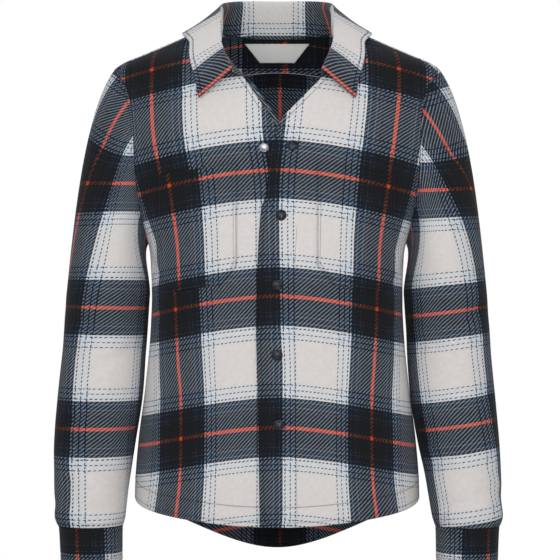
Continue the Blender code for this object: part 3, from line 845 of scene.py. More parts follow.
        seam, inside, over = ARMHOLE.seam(place[:, 0], self.side)
        armed = key[:, 0] >= 9.0
        points[armed, -1] = (seam - over * CLOTH.seam_gap / 2.0)[armed]
        inward[armed, -1] = ((inside - seam) / CLOTH.wall)[armed]
        necked = key[:, 0] >= 15.0
        seam, inside, over = BODY.neck_seam(turn[:, 0], height[:, 0])
        points[necked, 0] = (seam - over * CLOTH.seam_gap / 2.0)[necked]
        inward[necked, 0] = ((inside - seam) / CLOTH.wall)[necked]

        panel = Panel(self.name, points, inward, weave, hem="low")
        arc = BODY.arc(turn, height)
        sink = sum(item.sink(arc, height) for item in self.FOLDS[self.side])
        panel.sink(sink, fade=0.02)
        return panel


@dataclass
class Back:
    """Back: curved hem, side seams and armholes, and the curved seam under the yoke."""

    yoke_drop: float = -0.036
    hem_drop: float = 0.095
    hem_power: float = 1.5
    warp_middle: float = 0.004
    # Drop of the check below the waist: it puts a black weft band on the inside of the back hem as painted
    # shade.
    hem_shift: float = 0.012
    FOLDS = (
        # around from the back centre, height
        Fold(-0.205, -0.33, 145.0, 0.06, 0.01, 0.0026, 0.004),
        Fold(0.205, -0.335, 36.0, 0.06, 0.01, 0.0026, 0.004),
        Fold(0.2, -0.4, 22.0, 0.06, 0.011, 0.0022, 0.003),
        Fold(-0.2, -0.39, 160.0, 0.055, 0.011, 0.0022, 0.003),
        Fold(0.06, -0.45, 84.0, 0.13, 0.018, 0.0026, 0.008),
        Fold(-0.075, -0.47, 95.0, 0.12, 0.017, 0.0026, -0.006),
        Fold(0.0, -0.52, 90.0, 0.1, 0.016, -0.002, 0.004),
        Fold(0.13, -0.5, 82.0, 0.11, 0.016, 0.0024, -0.005),
        Fold(-0.14, -0.52, 98.0, 0.1, 0.016, 0.0022, 0.005),
        Fold(0.11, -0.13, 60.0, 0.07, 0.013, 0.0018, 0.004),
        Fold(-0.11, -0.135, 120.0, 0.07, 0.013, 0.0018, -0.004),
        Fold(0.0, -0.22, 4.0, 0.09, 0.016, 0.0012, 0.006),
    )

    def __post_init__(self) -> None:
        """Lay out the dense grid of the back."""
        self.panel = self.make_panel()

    @classmethod
    def yoke_seam(cls, share: Array) -> tuple[Array, Array]:
        """Turn and height of the seam under the yoke at a share of the way across.

        Args:
            share: Share of the way across, from the wearer's left.

        Returns:
            Turns and heights.
        """
        turn, height = ARMHOLE.place(ARMHOLE.YOKE_SEAM)
        middle = 1.0 - np.abs(2.0 * share - 1.0)
        rise = (cls.yoke_drop - height) * (1.0 - (1.0 - middle) ** 2)
        return blend(turn, 360.0 - turn, share), height + rise

    @classmethod
    def weave(cls, turn: Array, height: Array, points: Array) -> Array:
        """Place on the cloth of points on the back.

        Args:
            turn: Degrees round from the front centre.
            height: Height.
            points: Points on the cloth.

        Returns:
            Places across and up the cloth.
        """
        half = BODY.arc(np.full_like(turn, 180.0), height)
        around = (half - BODY.arc(turn, height)) * np.sign(180.0 - turn)
        # Below the waist the check is moved down, so a black weft band lies on the inside of the back hem as
        # painted shade.
        shifted = points.copy()
        shifted[..., 2] -= cls.hem_shift * (1.0 - ease(points[..., 2], -0.62, -0.45))
        return np.stack([cls.warp_middle - around, Sett.height(shifted)], axis=-1)

    def make_panel(self) -> Panel:
        """Dense grid with its check and its folds.

        Returns:
            The panel.
        """
        body = edged_shares(104, 0.44)[:-3] * 9.0
        upper = 9.0 + edged_shares(70, 0.21)[4:] * 7.0
        key = np.concatenate([body, upper])[:, None]
        share = edged_shares(120, 0.42)[None, :]
        place = blend(270.0, ARMHOLE.YOKE_SEAM, np.maximum(key - 9.0, 0.0) / 7.0)
        hole_turn, hole_height = ARMHOLE.place(place)
        low = key <= 9.0
        end_turn = np.where(low, 90.0, hole_turn)
        end_height = np.where(low, blend(Front.hem_side, ARMHOLE.armpit, key / 9.0), hole_height)
        turn = blend(end_turn, 360.0 - end_turn, share)
        drop = self.hem_drop * np.maximum(-np.cos(np.radians(turn)), 0.0) ** self.hem_power
        height = end_height - drop * np.clip(1.0 - key / 9.0, 0.0, 1.0)
        middle = 1.0 - np.abs(2.0 * share - 1.0)
        rise = self.yoke_drop - ARMHOLE.place(ARMHOLE.YOKE_SEAM)[1]
        climb = np.clip((key - 9.0) / 7.0, 0.0, 1.0)
        height = height + rise * climb * (1.0 - (1.0 - middle) ** 2)
        points = BODY.point(turn, height)
        normals = BODY.normal(turn, height)
        weave = self.weave(turn, height, points)
        inward = -normals
        armed = key[:, 0] >= 9.0
        for column, side in ((0, Side.LEFT), (-1, Side.RIGHT)):
            seam, inside, over = ARMHOLE.seam(place[:, 0], side)
            points[armed, column] = (seam - over * CLOTH.seam_gap / 2.0)[armed]
            inward[armed, column] = ((inside - seam) / CLOTH.wall)[armed]
            points[~armed, column, 1] += CLOTH.seam_gap / 2.0
        points[-1, :, 2] -= CLOTH.seam_gap / 2.0
        panel = Panel("back", points, inward, weave, hem="low")
        around = weave[..., 0] - self.warp_middle
        panel.sink(sum(item.sink(around, height) for item in self.FOLDS), fade=0.02)
        return panel


@dataclass
class Yoke:
    """Yoke over both shoulders, from the shoulder seams to the seam across the back."""

    ridge: SmoothTable = SmoothTable((
        # distance across, height of the shoulder ridge
        (0.0, 0.016),
        (0.085, 0.016),
        (0.1, 0.012),
        (0.127, 0.004),
        (0.1625, -0.011),
        (0.188, -0.022),
        (0.2155, -0.034),
        (0.229, -0.045),
    ))
    # The check on the yoke is set off centre and stretched so that its black band also fills the collar's
    # shade inside the back neck: real check, widened as painted shade.
    warp_middle: float = 0.012
    spread: float = 0.62
    back_plane: float = 0.087
    back_share: float = 0.3

    def __post_init__(self) -> None:
        """Lay out the dense grid of the yoke."""
        self.panel = self.make_panel()

    def make_panel(self) -> Panel:
        """Dense grid with its check.

        Returns:
            The panel.
        """
        top_count, back_count = 16, 110
        flank = np.linspace(0.0, 1.0, top_count + 1)
        flank = np.concatenate([[0.0, 0.012, 0.035], flank[1:]])
        across = np.linspace(0.0, 1.0, back_count + 1)[1:-1]
        index = np.concatenate([flank * 4.0, 4.0 + across * 16.0, 24.0 - flank[::-1] * 4.0])
        neck_turn = blend(BODY.NECK_TURN, 360.0 - BODY.NECK_TURN, index / 24.0)
        folded = np.where(neck_turn <= 180.0, neck_turn, 360.0 - neck_turn)
        neck_height = BODY.NECK_HEIGHTS.at(folded)[0]
        left = index <= 4.0
        right = index >= 20.0
        reach = np.where(left, index, 24.0 - index) / 4.0
        place = blend(ARMHOLE.SHOULDER_SEAM, ARMHOLE.YOKE_SEAM, np.clip(reach, 0.0, 1.0))
        low_turn, low_height = ARMHOLE.place(place)
        low_turn = np.where(right, 360.0 - low_turn, low_turn)
        seam_turn, seam_height = Back.yoke_seam(np.clip((index - 4.0) / 16.0, 0.0, 1.0))
        inner = ~(left | right)
        low_turn = np.where(inner, seam_turn, low_turn)
        low_height = np.where(inner, seam_height, low_height)
        share = edged_shares(44, 0.11)[:, None]
        turn = blend(neck_turn[None, :], low_turn[None, :], share)
        height = blend(neck_height[None, :], low_height[None, :], share)
        points = BODY.point(turn, height)
        normals = BODY.normal(turn, height)
        inward = -normals
        seam, inside, over = BODY.neck_seam(turn[0], height[0])
        points[0] = seam - over * CLOTH.seam_gap / 2.0
        inward[0] = (inside - seam) / CLOTH.wall
        for side, chosen in ((Side.LEFT, left), (Side.RIGHT, right)):
            seam, inside, over = ARMHOLE.seam(place, side)
            points[-1, chosen] = (seam - over * CLOTH.seam_gap / 2.0)[chosen]
            inward[-1, chosen] = ((inside - seam) / CLOTH.wall)[chosen]
        points[-1, inner, 2] += CLOTH.seam_gap / 2.0
        ridge = self.ridge.at(np.abs(points[..., 0]))[0]
        ahead = self.back_plane - points[..., 1]
        up = (points[..., 2] - ridge + 0.011) + np.where(ahead < 0.0, self.back_share, 1.0) * ahead
        # Stretched check: its black band is widened as painted shade under the collar.
        weave = np.stack([(points[..., 0] - self.warp_middle) * self.spread, up], axis=-1)
        return Panel("yoke", points, inward, weave)


@dataclass
class Collar:
    """Collar: the stand rises from the neck seam, rolls over and falls as the leaf."""

    back_share: float = 0.62
    roll_line: SmoothTable = SmoothTable((
        # place from centre back to front end, across, depth, height
        (0.0, 0.0, 0.088, 0.064),
        (0.2, 0.046, 0.077, 0.063),
        (0.4, 0.072, 0.045, 0.057),
        (0.55, 0.0785, 0.009, 0.048),
        (0.62, 0.079, -0.01, 0.04),
        (0.715, 0.0785, -0.042, 0.02),
        (0.81, 0.077, -0.0695, -0.008),
        (0.905, 0.0705, -0.097, -0.029),
        (1.0, 0.0605, -0.112, -0.052),
    ))
    leaf_edge: SmoothTable = SmoothTable((
        # place from centre back to front end, turn, height, lift from the body
        (0.0, 180.0, -0.01, 0.0032),
        (0.2, 150.0, -0.01, 0.0032),
        (0.4, 120.0, -0.005, 0.0032),
        (0.55, 98.0, 0.003, 0.005),
        (0.62, 86.0, 0.003, 0.0058),
        (0.715, 69.0, -0.01, 0.005),
        (0.81, 58.0, -0.033, 0.0042),
        (0.905, 50.5, -0.061, 0.0044),
        (1.0, 45.5, -0.092, 0.0048),
    ))
    fold_in: tuple[float, float] = (-0.003, -0.007)
    fold_out: tuple[float, float] = (0.006, -0.004)
    fold_room: float = 0.016
    roll_switch: float = 4.015
    leaf_end: float = 0.003
    leaf_white: float = 0.0358
    stand_across: float = 0.0055
    stand_up: float = 0.0032
    stations: int = 150

    def __post_init__(self) -> None:
        """Lay out the dense grid of the collar."""
        self.panel = self.make_panel()

    def neck_line(self, place: Array) -> tuple[Array, Array]:
        """Turn and height of the neck seam at signed places, negative on the wearer's right.

        Args:
            place: Signed places from the centre back.

        Returns:
            Turns and heights.
        """
        size = np.abs(place)
        back_turn = 180.0 - size / self.back_share * (180.0 - BODY.NECK_TURN)
        back_height = BODY.NECK_HEIGHTS.at(back_turn)[0]
        front_index = (size - self.back_share) / (1.0 - self.back_share) * len(Front.NECK) - 1.0
        sides = []
        for column in (1, 2):
            rows = [(-1.0, BODY.NECK_TURN, 0.0148)]
            for index, row in enumerate(Front.NECK[::-1]):
                rows.append((float(index), float(BODY.front_turn(row[column], row[0])), row[0]))
            sides.append(SmoothTable(rows).at(front_index))
        left = place > 0.0
        front_turn = np.where(left, sides[0][0], sides[1][0])
        front_height = np.where(left, sides[0][1], sides[1][1])
        back = size <= self.back_share
        turn = np.where(back, back_turn, front_turn)
        turn = np.where(left, turn, -turn)
        return turn, np.where(back, back_height, front_height)

    def controls(self, place: Array) -> tuple[Array, Array, Array, Array]:
        """Points that the collar passes through, from the neck seam to the leaf's edge.

        Args:
            place: Signed places of the stations.

        Returns:
            Points of nine levels by stations by three, and the neck seam's inner points, outer
            points and directions.
        """
        sign = np.where(place > 0.0, 1.0, -1.0)
        turn, height = self.neck_line(place)
        start, inside, over = BODY.neck_seam(turn, height)
        base = (start + inside) / 2.0 + over * CLOTH.seam_gap
        across, depth, top = self.roll_line.at(np.abs(place))
        roll = np.stack([sign * across, depth, top], axis=-1)
        leaf_turn, leaf_height, lift = self.leaf_edge.at(np.abs(place))
        edge = BODY.point(sign * leaf_turn, leaf_height)
        edge = edge + BODY.normal(sign * leaf_turn, leaf_height) * lift[:, None]
        out = unit((edge - base) * np.array([1.0, 1.0, 0.0]))
        size = np.minimum(1.0, (roll[:, 2] - base[:, 2]) / self.fold_room)[:, None]
        up = np.array([0.0, 0.0, 1.0])
        rising = roll + (out * self.fold_in[0] + up * self.fold_in[1]) * size
        falling = roll + (out * self.fold_out[0] + up * self.fold_out[1]) * size
        stand = [blend(base, rising, share) for share in (0.0, 1 / 3, 2 / 3, 1.0)]
        leaf = [blend(falling, edge, share) for share in (0.0, 1 / 3, 2 / 3, 1.0)]
        return np.stack(stand + [roll] + leaf), inside, start, over

    def make_panel(self) -> Panel:
        """Dense grid of the visible face: the outside of the leaf and the inside of the stand.

        Returns:
            The panel.
        """
        place = edged_shares(self.stations, 0.5) * 2.0 - 1.0
        controls, inside, start, over = self.controls(place)
        stand = np.linspace(0.0, 3.0, 22)[:-1]
        roll = np.sort(np.append(np.linspace(3.0, 5.0, 17), self.roll_switch))
        leaf = 5.0 + edged_shares(26, 0.07)[4:] * 3.0
        level = np.concatenate([stand, roll, leaf])
        low = np.clip(level.astype(int), 0, 7)
        share = (level - low)[:, None, None]
        before = controls[np.maximum(low - 1, 0)]
        first, second = controls[low], controls[low + 1]
        after = controls[np.minimum(low + 2, 8)]
        rest = 1.0 - share
        middle = first * (1.0 + 2.0 * share) * rest * rest + second * share * share * (3.0 - 2.0 * share)
        middle = middle + (second - before) / 2.0 * share * rest * rest
        middle = middle - (after - first) / 2.0 * share * share * rest
        normals = grid_normals(middle, False, False)
        facing = np.sum(normals[-8] * BODY.point(self.neck_line(place)[0], 0.0)) < 0.0
        if facing:
            normals = -normals
        points = middle + normals * CLOTH.wall / 2.0
        inward = -normals
        points[0] = inside + over * CLOTH.seam_gap
        inward[0] = (start - inside) / CLOTH.wall
        panel = Panel("collar", points, inward, np.zeros((*points.shape[:2], 2)))
        roll_row = len(stand) + 8
        centre = len(place) // 2
        along = panel.rounds[roll_row] - panel.rounds[roll_row, centre]
        from_edge = panel.ups[-1:] - panel.ups
        from_end = np.minimum(panel.rounds, panel.rounds[:, -1:] - panel.rounds)
        on_stand = np.arange(len(level))[:, None] <= roll_row
        across = np.where(on_stand, Sett.REPEAT / 2.0 + along + self.stand_across, from_end - self.leaf_end)
        leaf_up = Sett.REPEAT / 2.0 + self.leaf_white - from_edge
        up = np.where(on_stand, from_edge + self.stand_up, leaf_up)
        panel.weave = np.stack([across, up], axis=-1)
        return panel


@dataclass
class Sleeve:
    """Sleeve, a tube from the armhole seam to the cuff, and the cuff below it."""

    side: Side
    rings: SmoothTable = SmoothTable((
        # height, reach of the right one, reach of the left one, half width, forward, half depth
        (-0.36, 0.237, 0.2362, 0.0585, -0.005, 0.07),
        (-0.449, 0.243, 0.2412, 0.059, 0.0, 0.067),
        (-0.504, 0.2475, 0.2455, 0.0592, 0.008, 0.065),
        (-0.56, 0.2534, 0.252, 0.0568, 0.018, 0.062),
        (-0.605, 0.256, 0.2576, 0.053, 0.027, 0.059),
        (-0.65, 0.2583, 0.262, 0.05, 0.036, 0.054),
        (-0.664, 0.2583, 0.263, 0.0485, 0.039, 0.051),
        (-0.674, 0.2575, 0.2628, 0.045, 0.041, 0.047),
        (-0.676, 0.257, 0.2625, 0.044, 0.042, 0.046),
        (-0.722, 0.2555, 0.2615, 0.0425, 0.047, 0.044),
    ))
    head_foot: float = -0.36
    foot: float = -0.674
    cuff_top: float = -0.6743
    cuff_foot: float = -0.7215
    leave: tuple[float, float] = (0.4, -0.58)
    arrive: tuple[float, float] = (0.1, -0.95)
    DENTS = (
        # side, height, place round the sleeve, depth, half height, half width, slant
        (1, -0.4, 10.0, 0.0042, 0.02, 55.0, 0.015),
        (1, -0.618, 30.0, 0.005, 0.016, 60.0, -0.02),
        (1, -0.57, -20.0, 0.0032, 0.015, 45.0, 0.02),
        (-1, -0.415, 20.0, 0.0036, 0.02, 50.0, -0.015),
        (-1, -0.59, -10.0, 0.0045, 0.018, 55.0, 0.022),
        (-1, -0.632, 45.0, 0.0036, 0.012, 50.0, -0.016),
        (1, -0.42, 180.0, 0.005, 0.022, 60.0, 0.01),
        (-1, -0.425, 175.0, 0.0052, 0.022, 60.0, -0.012),
    )
    LINES = {
        # height after levelling, place up the cloth in repeats
        Side.LEFT: SmoothTable((
            (-0.88, -4.0), (-0.708, -3.0), (-0.536, -2.0), (-0.38, -1.0), (-0.213, 0.0), (-0.045, 1.0),
            (0.13, 2.0),
        )),
        Side.RIGHT: SmoothTable((
            (-0.884, -4.0), (-0.712, -3.0), (-0.54, -2.0), (-0.374, -1.0), (-0.204, 0.0), (-0.035, 1.0),
            (0.138, 2.0),
        )),
    }
    TILT = {
        # height, rise of the weft for each metre away from the body
        Side.LEFT: SmoothTable((
            (-0.72, 0.14), (-0.55, 0.14), (-0.38, 0.12), (-0.2, 0.1), (-0.14, 0.4), (-0.1, 0.5),
            (-0.04, 0.5),
        )),
        Side.RIGHT: SmoothTable((
            (-0.72, 0.0), (-0.55, 0.0), (-0.38, 0.02), (-0.2, 0.05), (-0.15, 0.55), (-0.1, 0.8),
            (-0.04, 0.8),
        )),
    }
    WHITE_OFFSET = {
        # height, how far the white warp lies from the front centre towards the body
        Side.LEFT: SmoothTable((
            (-0.72, 0.002), (-0.62, 0.0025), (-0.45, 0.011), (-0.36, 0.014), (-0.27, 0.019), (-0.2, 0.032),
            (-0.15, 0.05), (-0.04, 0.055),
        )),
        Side.RIGHT: SmoothTable((
            (-0.72, 0.038), (-0.64, 0.036), (-0.56, 0.03), (-0.45, 0.024), (-0.36, 0.03), (-0.28, 0.036),
            (-0.04, 0.036),
        )),
    }
    OUTER_SPREAD = {Side.LEFT: 0.74, Side.RIGHT: 0.76}
    CUFF_ORANGE = {Side.LEFT: 0.028, Side.RIGHT: 0.016}
    around: float = 0.00105
    FOLDS = {
        Side.LEFT: (
            # metres round from the front centre, height
            Fold(0.03, -0.385, 24.0, 0.075, 0.009, 0.0034, 0.006),
            Fold(-0.02, -0.43, -18.0, 0.07, 0.01, 0.003, 0.005),
            Fold(0.04, -0.5, 28.0, 0.06, 0.01, 0.0022, 0.004),
            Fold(-0.03, -0.545, 20.0, 0.06, 0.009, 0.0026, -0.004),
            Fold(0.03, -0.59, -22.0, 0.07, 0.009, 0.0034, 0.005),
            Fold(-0.01, -0.64, 12.0, 0.06, 0.008, 0.003, 0.004),
            Fold(0.01, -0.22, 78.0, 0.1, 0.014, 0.002, 0.004),
            Fold(0.06, -0.15, 62.0, 0.06, 0.012, 0.0018, 0.003),
            Fold(0.185, -0.4, 10.0, 0.08, 0.011, 0.0036, 0.006),
            Fold(0.19, -0.455, -14.0, 0.07, 0.011, 0.003, 0.005),
            Fold(0.18, -0.6, 12.0, 0.06, 0.01, 0.0026, 0.004),
        ),
        Side.RIGHT: (
            Fold(0.035, -0.395, 20.0, 0.07, 0.01, 0.003, 0.006),
            Fold(-0.015, -0.445, -22.0, 0.065, 0.009, 0.0028, 0.005),
            Fold(0.02, -0.52, -26.0, 0.065, 0.01, 0.0026, -0.004),
            Fold(-0.02, -0.57, 20.0, 0.06, 0.009, 0.0032, 0.005),
            Fold(0.04, -0.615, -18.0, 0.06, 0.009, 0.003, 0.004),
            Fold(0.0, -0.648, 10.0, 0.055, 0.008, 0.0026, 0.003),
            Fold(0.015, -0.23, 80.0, 0.1, 0.014, 0.002, -0.004),
            Fold(0.055, -0.145, 60.0, 0.06, 0.012, 0.0016, 0.003),
            Fold(0.185, -0.41, 12.0, 0.08, 0.011, 0.0036, 0.006),
            Fold(0.18, -0.47, -12.0, 0.07, 0.012, 0.003, 0.004),
            Fold(0.19, -0.59, 14.0, 0.06, 0.01, 0.0026, 0.004),
        ),
    }

    def __post_init__(self) -> None:
        """Lay out the dense grids of the sleeve and the cuff on one side."""
        self.sleeve = self.make_sleeve()
        self.cuff = self.make_cuff()

    def ring(self, place: Array, height: Array) -> Array:
        """Points of the sleeve's rings.

        Args:
            place: Degrees round the sleeve from its front.
            height: Height.

        Returns:
            Points, coordinates last.
        """
        place, height = np.broadcast_arrays(place, height)
        right, left, half_width, forward, half_depth = self.rings.at(height)
        reach = left if self.side is Side.LEFT else right
        dent = np.zeros_like(place)
        for side, middle, centre, depth, half_height, half_span, slant in self.DENTS:
            if side != self.side.value:
                continue
            turned = (place - centre + 180.0) % 360.0 - 180.0
            along = (height - middle - slant * turned / half_span) / half_height
            dent = dent + depth * np.exp(-along * along - (turned / half_span) ** 2)
        out = (half_width - dent) * np.sin(np.radians(place))
        front = (half_depth - dent) * np.cos(np.radians(place))
        return np.stack([self.side.value * (reach + out), -forward - front, height], axis=-1)

    def round_from_front(self, panel: Panel, places: Array) -> Array:
        """Length round the tube from the front centre, positive away from the body.

        Args:
            panel: The tube.
            places: Degrees round the tube, one for each column.

        Returns:
            One length for each point.
        """
        columns = np.arange(len(places), dtype=float)
        front = float(np.interp(0.0, places, columns))
        low = int(front)
        start = blend(panel.rounds[:, low], panel.rounds[:, low + 1], front - low)
        return panel.rounds - start[:, None]

    def make_sleeve(self) -> Panel:
        """Dense grid of the sleeve with its check and its folds.

        Returns:
            The panel.
        """
        sign = self.side.value
        places = np.linspace(-90.0, 270.0, 113)
        head = edged_shares(64, 0.24)[:-3, None]
        tail = edged_shares(100, 0.314)[4:, None]
        seam, inside, over = ARMHOLE.seam(places, self.side)
        start = (seam + over * CLOTH.seam_gap / 2.0)[None]
        end = self.ring(places, np.full_like(places, self.head_foot))[None]
        drop = (start - end)[..., 2:]
        leave = np.concatenate([sign * self.leave[0] * drop, drop * 0.0, self.leave[1] * drop], axis=-1)
        arrive = np.concatenate([sign * self.arrive[0] * drop, drop * 0.0, self.arrive[1] * drop], axis=-1)
        travel = head[..., None]
        rest = 1.0 - travel
        upper = start * (1.0 + 2.0 * travel) * rest * rest + end * travel * travel * (3.0 - 2.0 * travel)
        upper = upper + leave * travel * rest * rest - arrive * travel * travel * rest
        lower = self.ring(places[None, :], blend(self.head_foot, self.foot, tail))
        points = np.concatenate([upper, lower])
        normals = self.outward(points)
        inward = -normals
        inward[0] = (inside - seam) / CLOTH.wall
        name = f"sleeve_{self.side.word}"
        panel = Panel(name, points, inward, np.zeros((*points.shape[:2], 2)), tube=True)
        reach = np.mean(points[..., 0] * sign, axis=1, keepdims=True)
        level = points[..., 2] - self.TILT[self.side].at(points[..., 2])[0] * (points[..., 0] * sign - reach)
        up = self.LINES[self.side].at(level)[0] * Sett.REPEAT
        away = self.round_from_front(panel, places) + self.WHITE_OFFSET[self.side].at(points[..., 2])[0]
        across = Sett.REPEAT / 2.0 + away * np.where(away > 0.0, self.OUTER_SPREAD[self.side], 1.0)
        panel.weave = np.stack([across * sign, up], axis=-1)
        around = np.broadcast_to(places[None, :] * self.around, level.shape)
        panel.sink(sum(item.sink(around, points[..., 2]) for item in self.FOLDS[self.side]), fade=0.022)
        panel.inward = -self.outward(panel.points)
        panel.inward[0] = inward[0]
        return panel

    def outward(self, points: Array) -> Array:
        """Outward directions of a tube's grid.

        Args:
            points: Points on the cloth.

        Returns:
            Unit vectors.
        """
        normals = grid_normals(points, True, False)
        middle = np.mean(points[:, :-1], axis=1, keepdims=True)
        if np.sum(normals * (points - middle)) < 0.0:
            normals = -normals
        return normals

    def make_cuff(self) -> Panel:
        """Dense grid of the cuff.

        Returns:
            The panel.
        """
        sign = self.side.value
        places = np.linspace(-90.0, 270.0, 97)
        share = edged_shares(20, 0.047)[:, None]
        points = self.ring(places[None, :], blend(self.cuff_top, self.cuff_foot, share))
        inward = -self.outward(points)
        name = f"cuff_{self.side.word}"
        panel = Panel(name, points, inward, np.zeros((*points.shape[:2], 2)), tube=True)
        across = self.round_from_front(panel, places) - self.CUFF_ORANGE[self.side]
        up = points[..., 2] - self.cuff_top - 0.004
        panel.weave = np.stack([across * sign, up], axis=-1)
        return panel


@dataclass
class Pocket:
    """Patch pocket with both lower corners cut off, laid on a front."""

    side: Side
    inner: float = 0.0535
    outer: float = 0.159
    top: float = -0.18
    height: float = 0.16
    droop: float = 0.014
    mitre_across: float = 0.022
    mitre_up: float = 0.024
    SHIFT = {Side.LEFT: 0.0, Side.RIGHT: 0.011}

    def __post_init__(self) -> None:
        """Lay out the dense grid of the pocket on one side."""
        self.panel = self.make_panel()

    def make_panel(self) -> Panel:
        """Dense grid with its check.

        Returns:
            The panel.
        """
        share = edged_shares(56, 0.105)[None, :]
        climb = edged_shares(72, 0.16)[:, None]
        across = self.side.value * blend(self.inner, self.outer, share)
        mitre = self.mitre_across / (self.outer - self.inner)
        corner = np.maximum(0.0, 1.0 - np.minimum(share, 1.0 - share) / mitre)
        foot = self.top - self.height + self.mitre_up * corner
        height = blend(foot, self.top, climb) - self.droop * share
        across = np.broadcast_to(across, height.shape)
        lift = CLOTH.pocket_lift + CLOTH.pocket_wall
        points, inward, turn = Front.on_front(across, height, lift, self.side)
        weave = Sett.front(turn, height, points, self.side)
        weave[..., 0] += self.side.value * self.SHIFT[self.side]
        return Panel(f"pocket_{self.side.word}", points, inward, weave, wall=CLOTH.pocket_wall)


@dataclass
class Facing:
    """Strip of facing that shows past the wearer's right front along the open neck."""

    width: float = 0.02
    top: float = -0.069
    foot: float = -0.15

    def __post_init__(self) -> None:
        """Lay out the dense grid of the strip."""
        share = edged_shares(14, self.width)[None, :]
        climb = edged_shares(36, self.top - self.foot)[:, None]
        height = np.broadcast_to(blend(self.foot, self.top, climb), (climb.size, share.size))
        across = Front.edge_across(height, Side.RIGHT, 0.0) - self.width * share
        points, inward, _ = Front.on_front(across, height, -CLOTH.wall - CLOTH.laid_on, Side.RIGHT)
        up = 0.0172 + (height + 0.109) * 0.35
        weave = np.stack([0.068 + self.width * share + height * 0.0, up], axis=-1)
        self.panel = Panel("facing_right", points, inward, weave, wall=CLOTH.facing_wall)


@dataclass
class NeckLabel:
    """Bare label on the inside of the yoke at the centre back."""

    top: float = 0.0045
    foot: float = -0.0215
    top_half: float = 0.047
    foot_half: float = 0.025

    def __post_init__(self) -> None:
        """Lay out the dense grid of the label."""
        share = edged_shares(40, 0.08)[None, :]
        climb = edged_shares(14, self.top - self.foot)[:, None]
        height = np.broadcast_to(blend(self.foot, self.top, climb), (climb.size, share.size))
        half = blend(self.foot_half, self.top_half, climb)
        across = blend(-half, half, share)
        width, _, back, square = BODY.RINGS.at(height)
        depth = back * (1.0 - (np.abs(across) / width) ** square) ** (1.0 / square)
        turn = np.degrees(np.arctan2(across, -depth)) % 360.0
        normal = BODY.normal(turn, height)
        points = BODY.point(turn, height) - normal * (CLOTH.wall + CLOTH.laid_on + CLOTH.label_wall)
        weave = np.stack([across, height], axis=-1)
        self.panel = Panel("neck_label", points, normal, weave, wall=CLOTH.label_wall)


@dataclass(frozen=True)
class Snaps:
    """Domed caps down the wearer's left front, and the bare stud of the open top snap."""

    top: float = -0.156
    pitch: float = 0.0935
    count: int = 5
    from_edge: float = 0.0275
    stud_across: float = -0.0174
    stud_height: float = -0.158
    sides: int = 48
    cap: tuple[tuple[float, float], ...] = (
        # radius, height
        (0.0068, 0.0),
        (0.0073, 0.0003),
        (0.0074, 0.0008),
        (0.0072, 0.0013),
        (0.0068, 0.0016),
        (0.0064, 0.00162),
        (0.0061, 0.0017),
        (0.0056, 0.0021),
        (0.0046, 0.0026),
        (0.0032, 0.003),
        (0.0016, 0.0032),
        (0.0, 0.00325),
    )
    stud: tuple[tuple[float, float], ...] = (
        (0.0058, 0.0),
        (0.006, 0.0003),
        (0.0059, 0.0006),
        (0.0052, 0.0008),
        (0.0048, 0.0011),
        (0.0046, 0.0022),
        (0.0043, 0.0026),
        (0.0037, 0.0026),
        (0.0033, 0.0023),
        (0.0031, 0.0013),
        (0.0024, 0.0011),
        (0.0, 0.0011),
    )

    def turned(self, name: str, profile: Sequence[tuple[float, float]], base: Array, axis: Array,
               material: bpy.types.Material) -> bpy.types.Object:
        """Piece whose profile is spun about an axis.

        Args:
            name: Name of the piece.
            profile: Radii and heights from the foot to the middle of the top.
            base: Middle of its foot.
            axis: Direction that it stands in.
            material: Finish.

        Returns:
            The object.
        """
        turn = np.array(Vector((0.0, 0.0, 1.0)).rotation_difference(Vector(axis)).to_matrix())
        angles = np.arange(self.sides) * 2.0 * math.pi / self.sides
        co = []
        for radius, height in profile[:-1]:
            level = np.full_like(angles, height)
            co.extend(np.stack([radius * np.cos(angles), radius * np.sin(angles), level], 1))
        co.append((0.0, 0.0, profile[-1][1]))
        co.append((0.0, 0.0, profile[0][1]))
        rings = len(profile) - 1
        faces = []
        for index in range(self.sides):
            after = (index + 1) % self.sides
            for level in range(rings - 1):
                low, high = level * self.sides, (level + 1) * self.sides
                faces.append((low + index, low + after, high + after, high + index))
            last = (rings - 1) * self.sides
            faces.append((last + index, last + after, rings * self.sides))
            faces.append((after, index, rings * self.sides + 1))
        mesh = bpy.data.meshes.new(name)
        mesh.from_pydata((np.array(co) @ turn.T + base).tolist(), [], faces)
        mesh.materials.append(material)
        mesh.shade_smooth()
        mesh.set_sharp_from_angle(angle=math.radians(50.0))
        return link(name, mesh)

    def place(self, across: float, height: float, side: Side) -> tuple[Array, Array]:
        """Middle of a snap's foot on a front, and the direction that it stands in."""
        point, inward, _ = Front.on_front(np.array(across), np.array(height), CLOTH.laid_on, side)
        return point, -inward

    def build(self, gunmetal: bpy.types.Material, nickel: bpy.types.Material) -> list[bpy.types.Object]:
        """All caps and the stud.

        Args:
            gunmetal: Finish of the caps.
            nickel: Finish of the stud.

        Returns:
            The caps from the top down, and the stud.
        """
        pieces = []
        for index in range(self.count):
            height = self.top - self.pitch * index
            across = float(Front.edge_across(np.array(height), Side.LEFT, 0.0)) + self.from_edge
            base, axis = self.place(across, height, Side.LEFT)
            pieces.append(self.turned(f"cap_{index + 1}", self.cap, base, axis, gunmetal))
        base, axis = self.place(self.stud_across, self.stud_height, Side.RIGHT)
        pieces.append(self.turned("stud", self.stud, base, axis, nickel))
        return pieces


def linear(red: float, green: float, blue: float) -> tuple[float, float, float, float]:
    """Linear colour of a display colour given from 0 to 255.

    Args:
        red: Red, from 0 to 255.
        green: Green.
        blue: Blue.

    Returns:
        The colour, with alpha.
    """
    values = []
    for value in (red, green, blue):
        share = value / 255.0
        values.append(share / 12.92 if share <= 0.04045 else ((share + 0.055) / 1.055) ** 2.4)
    return (*values, 1.0)


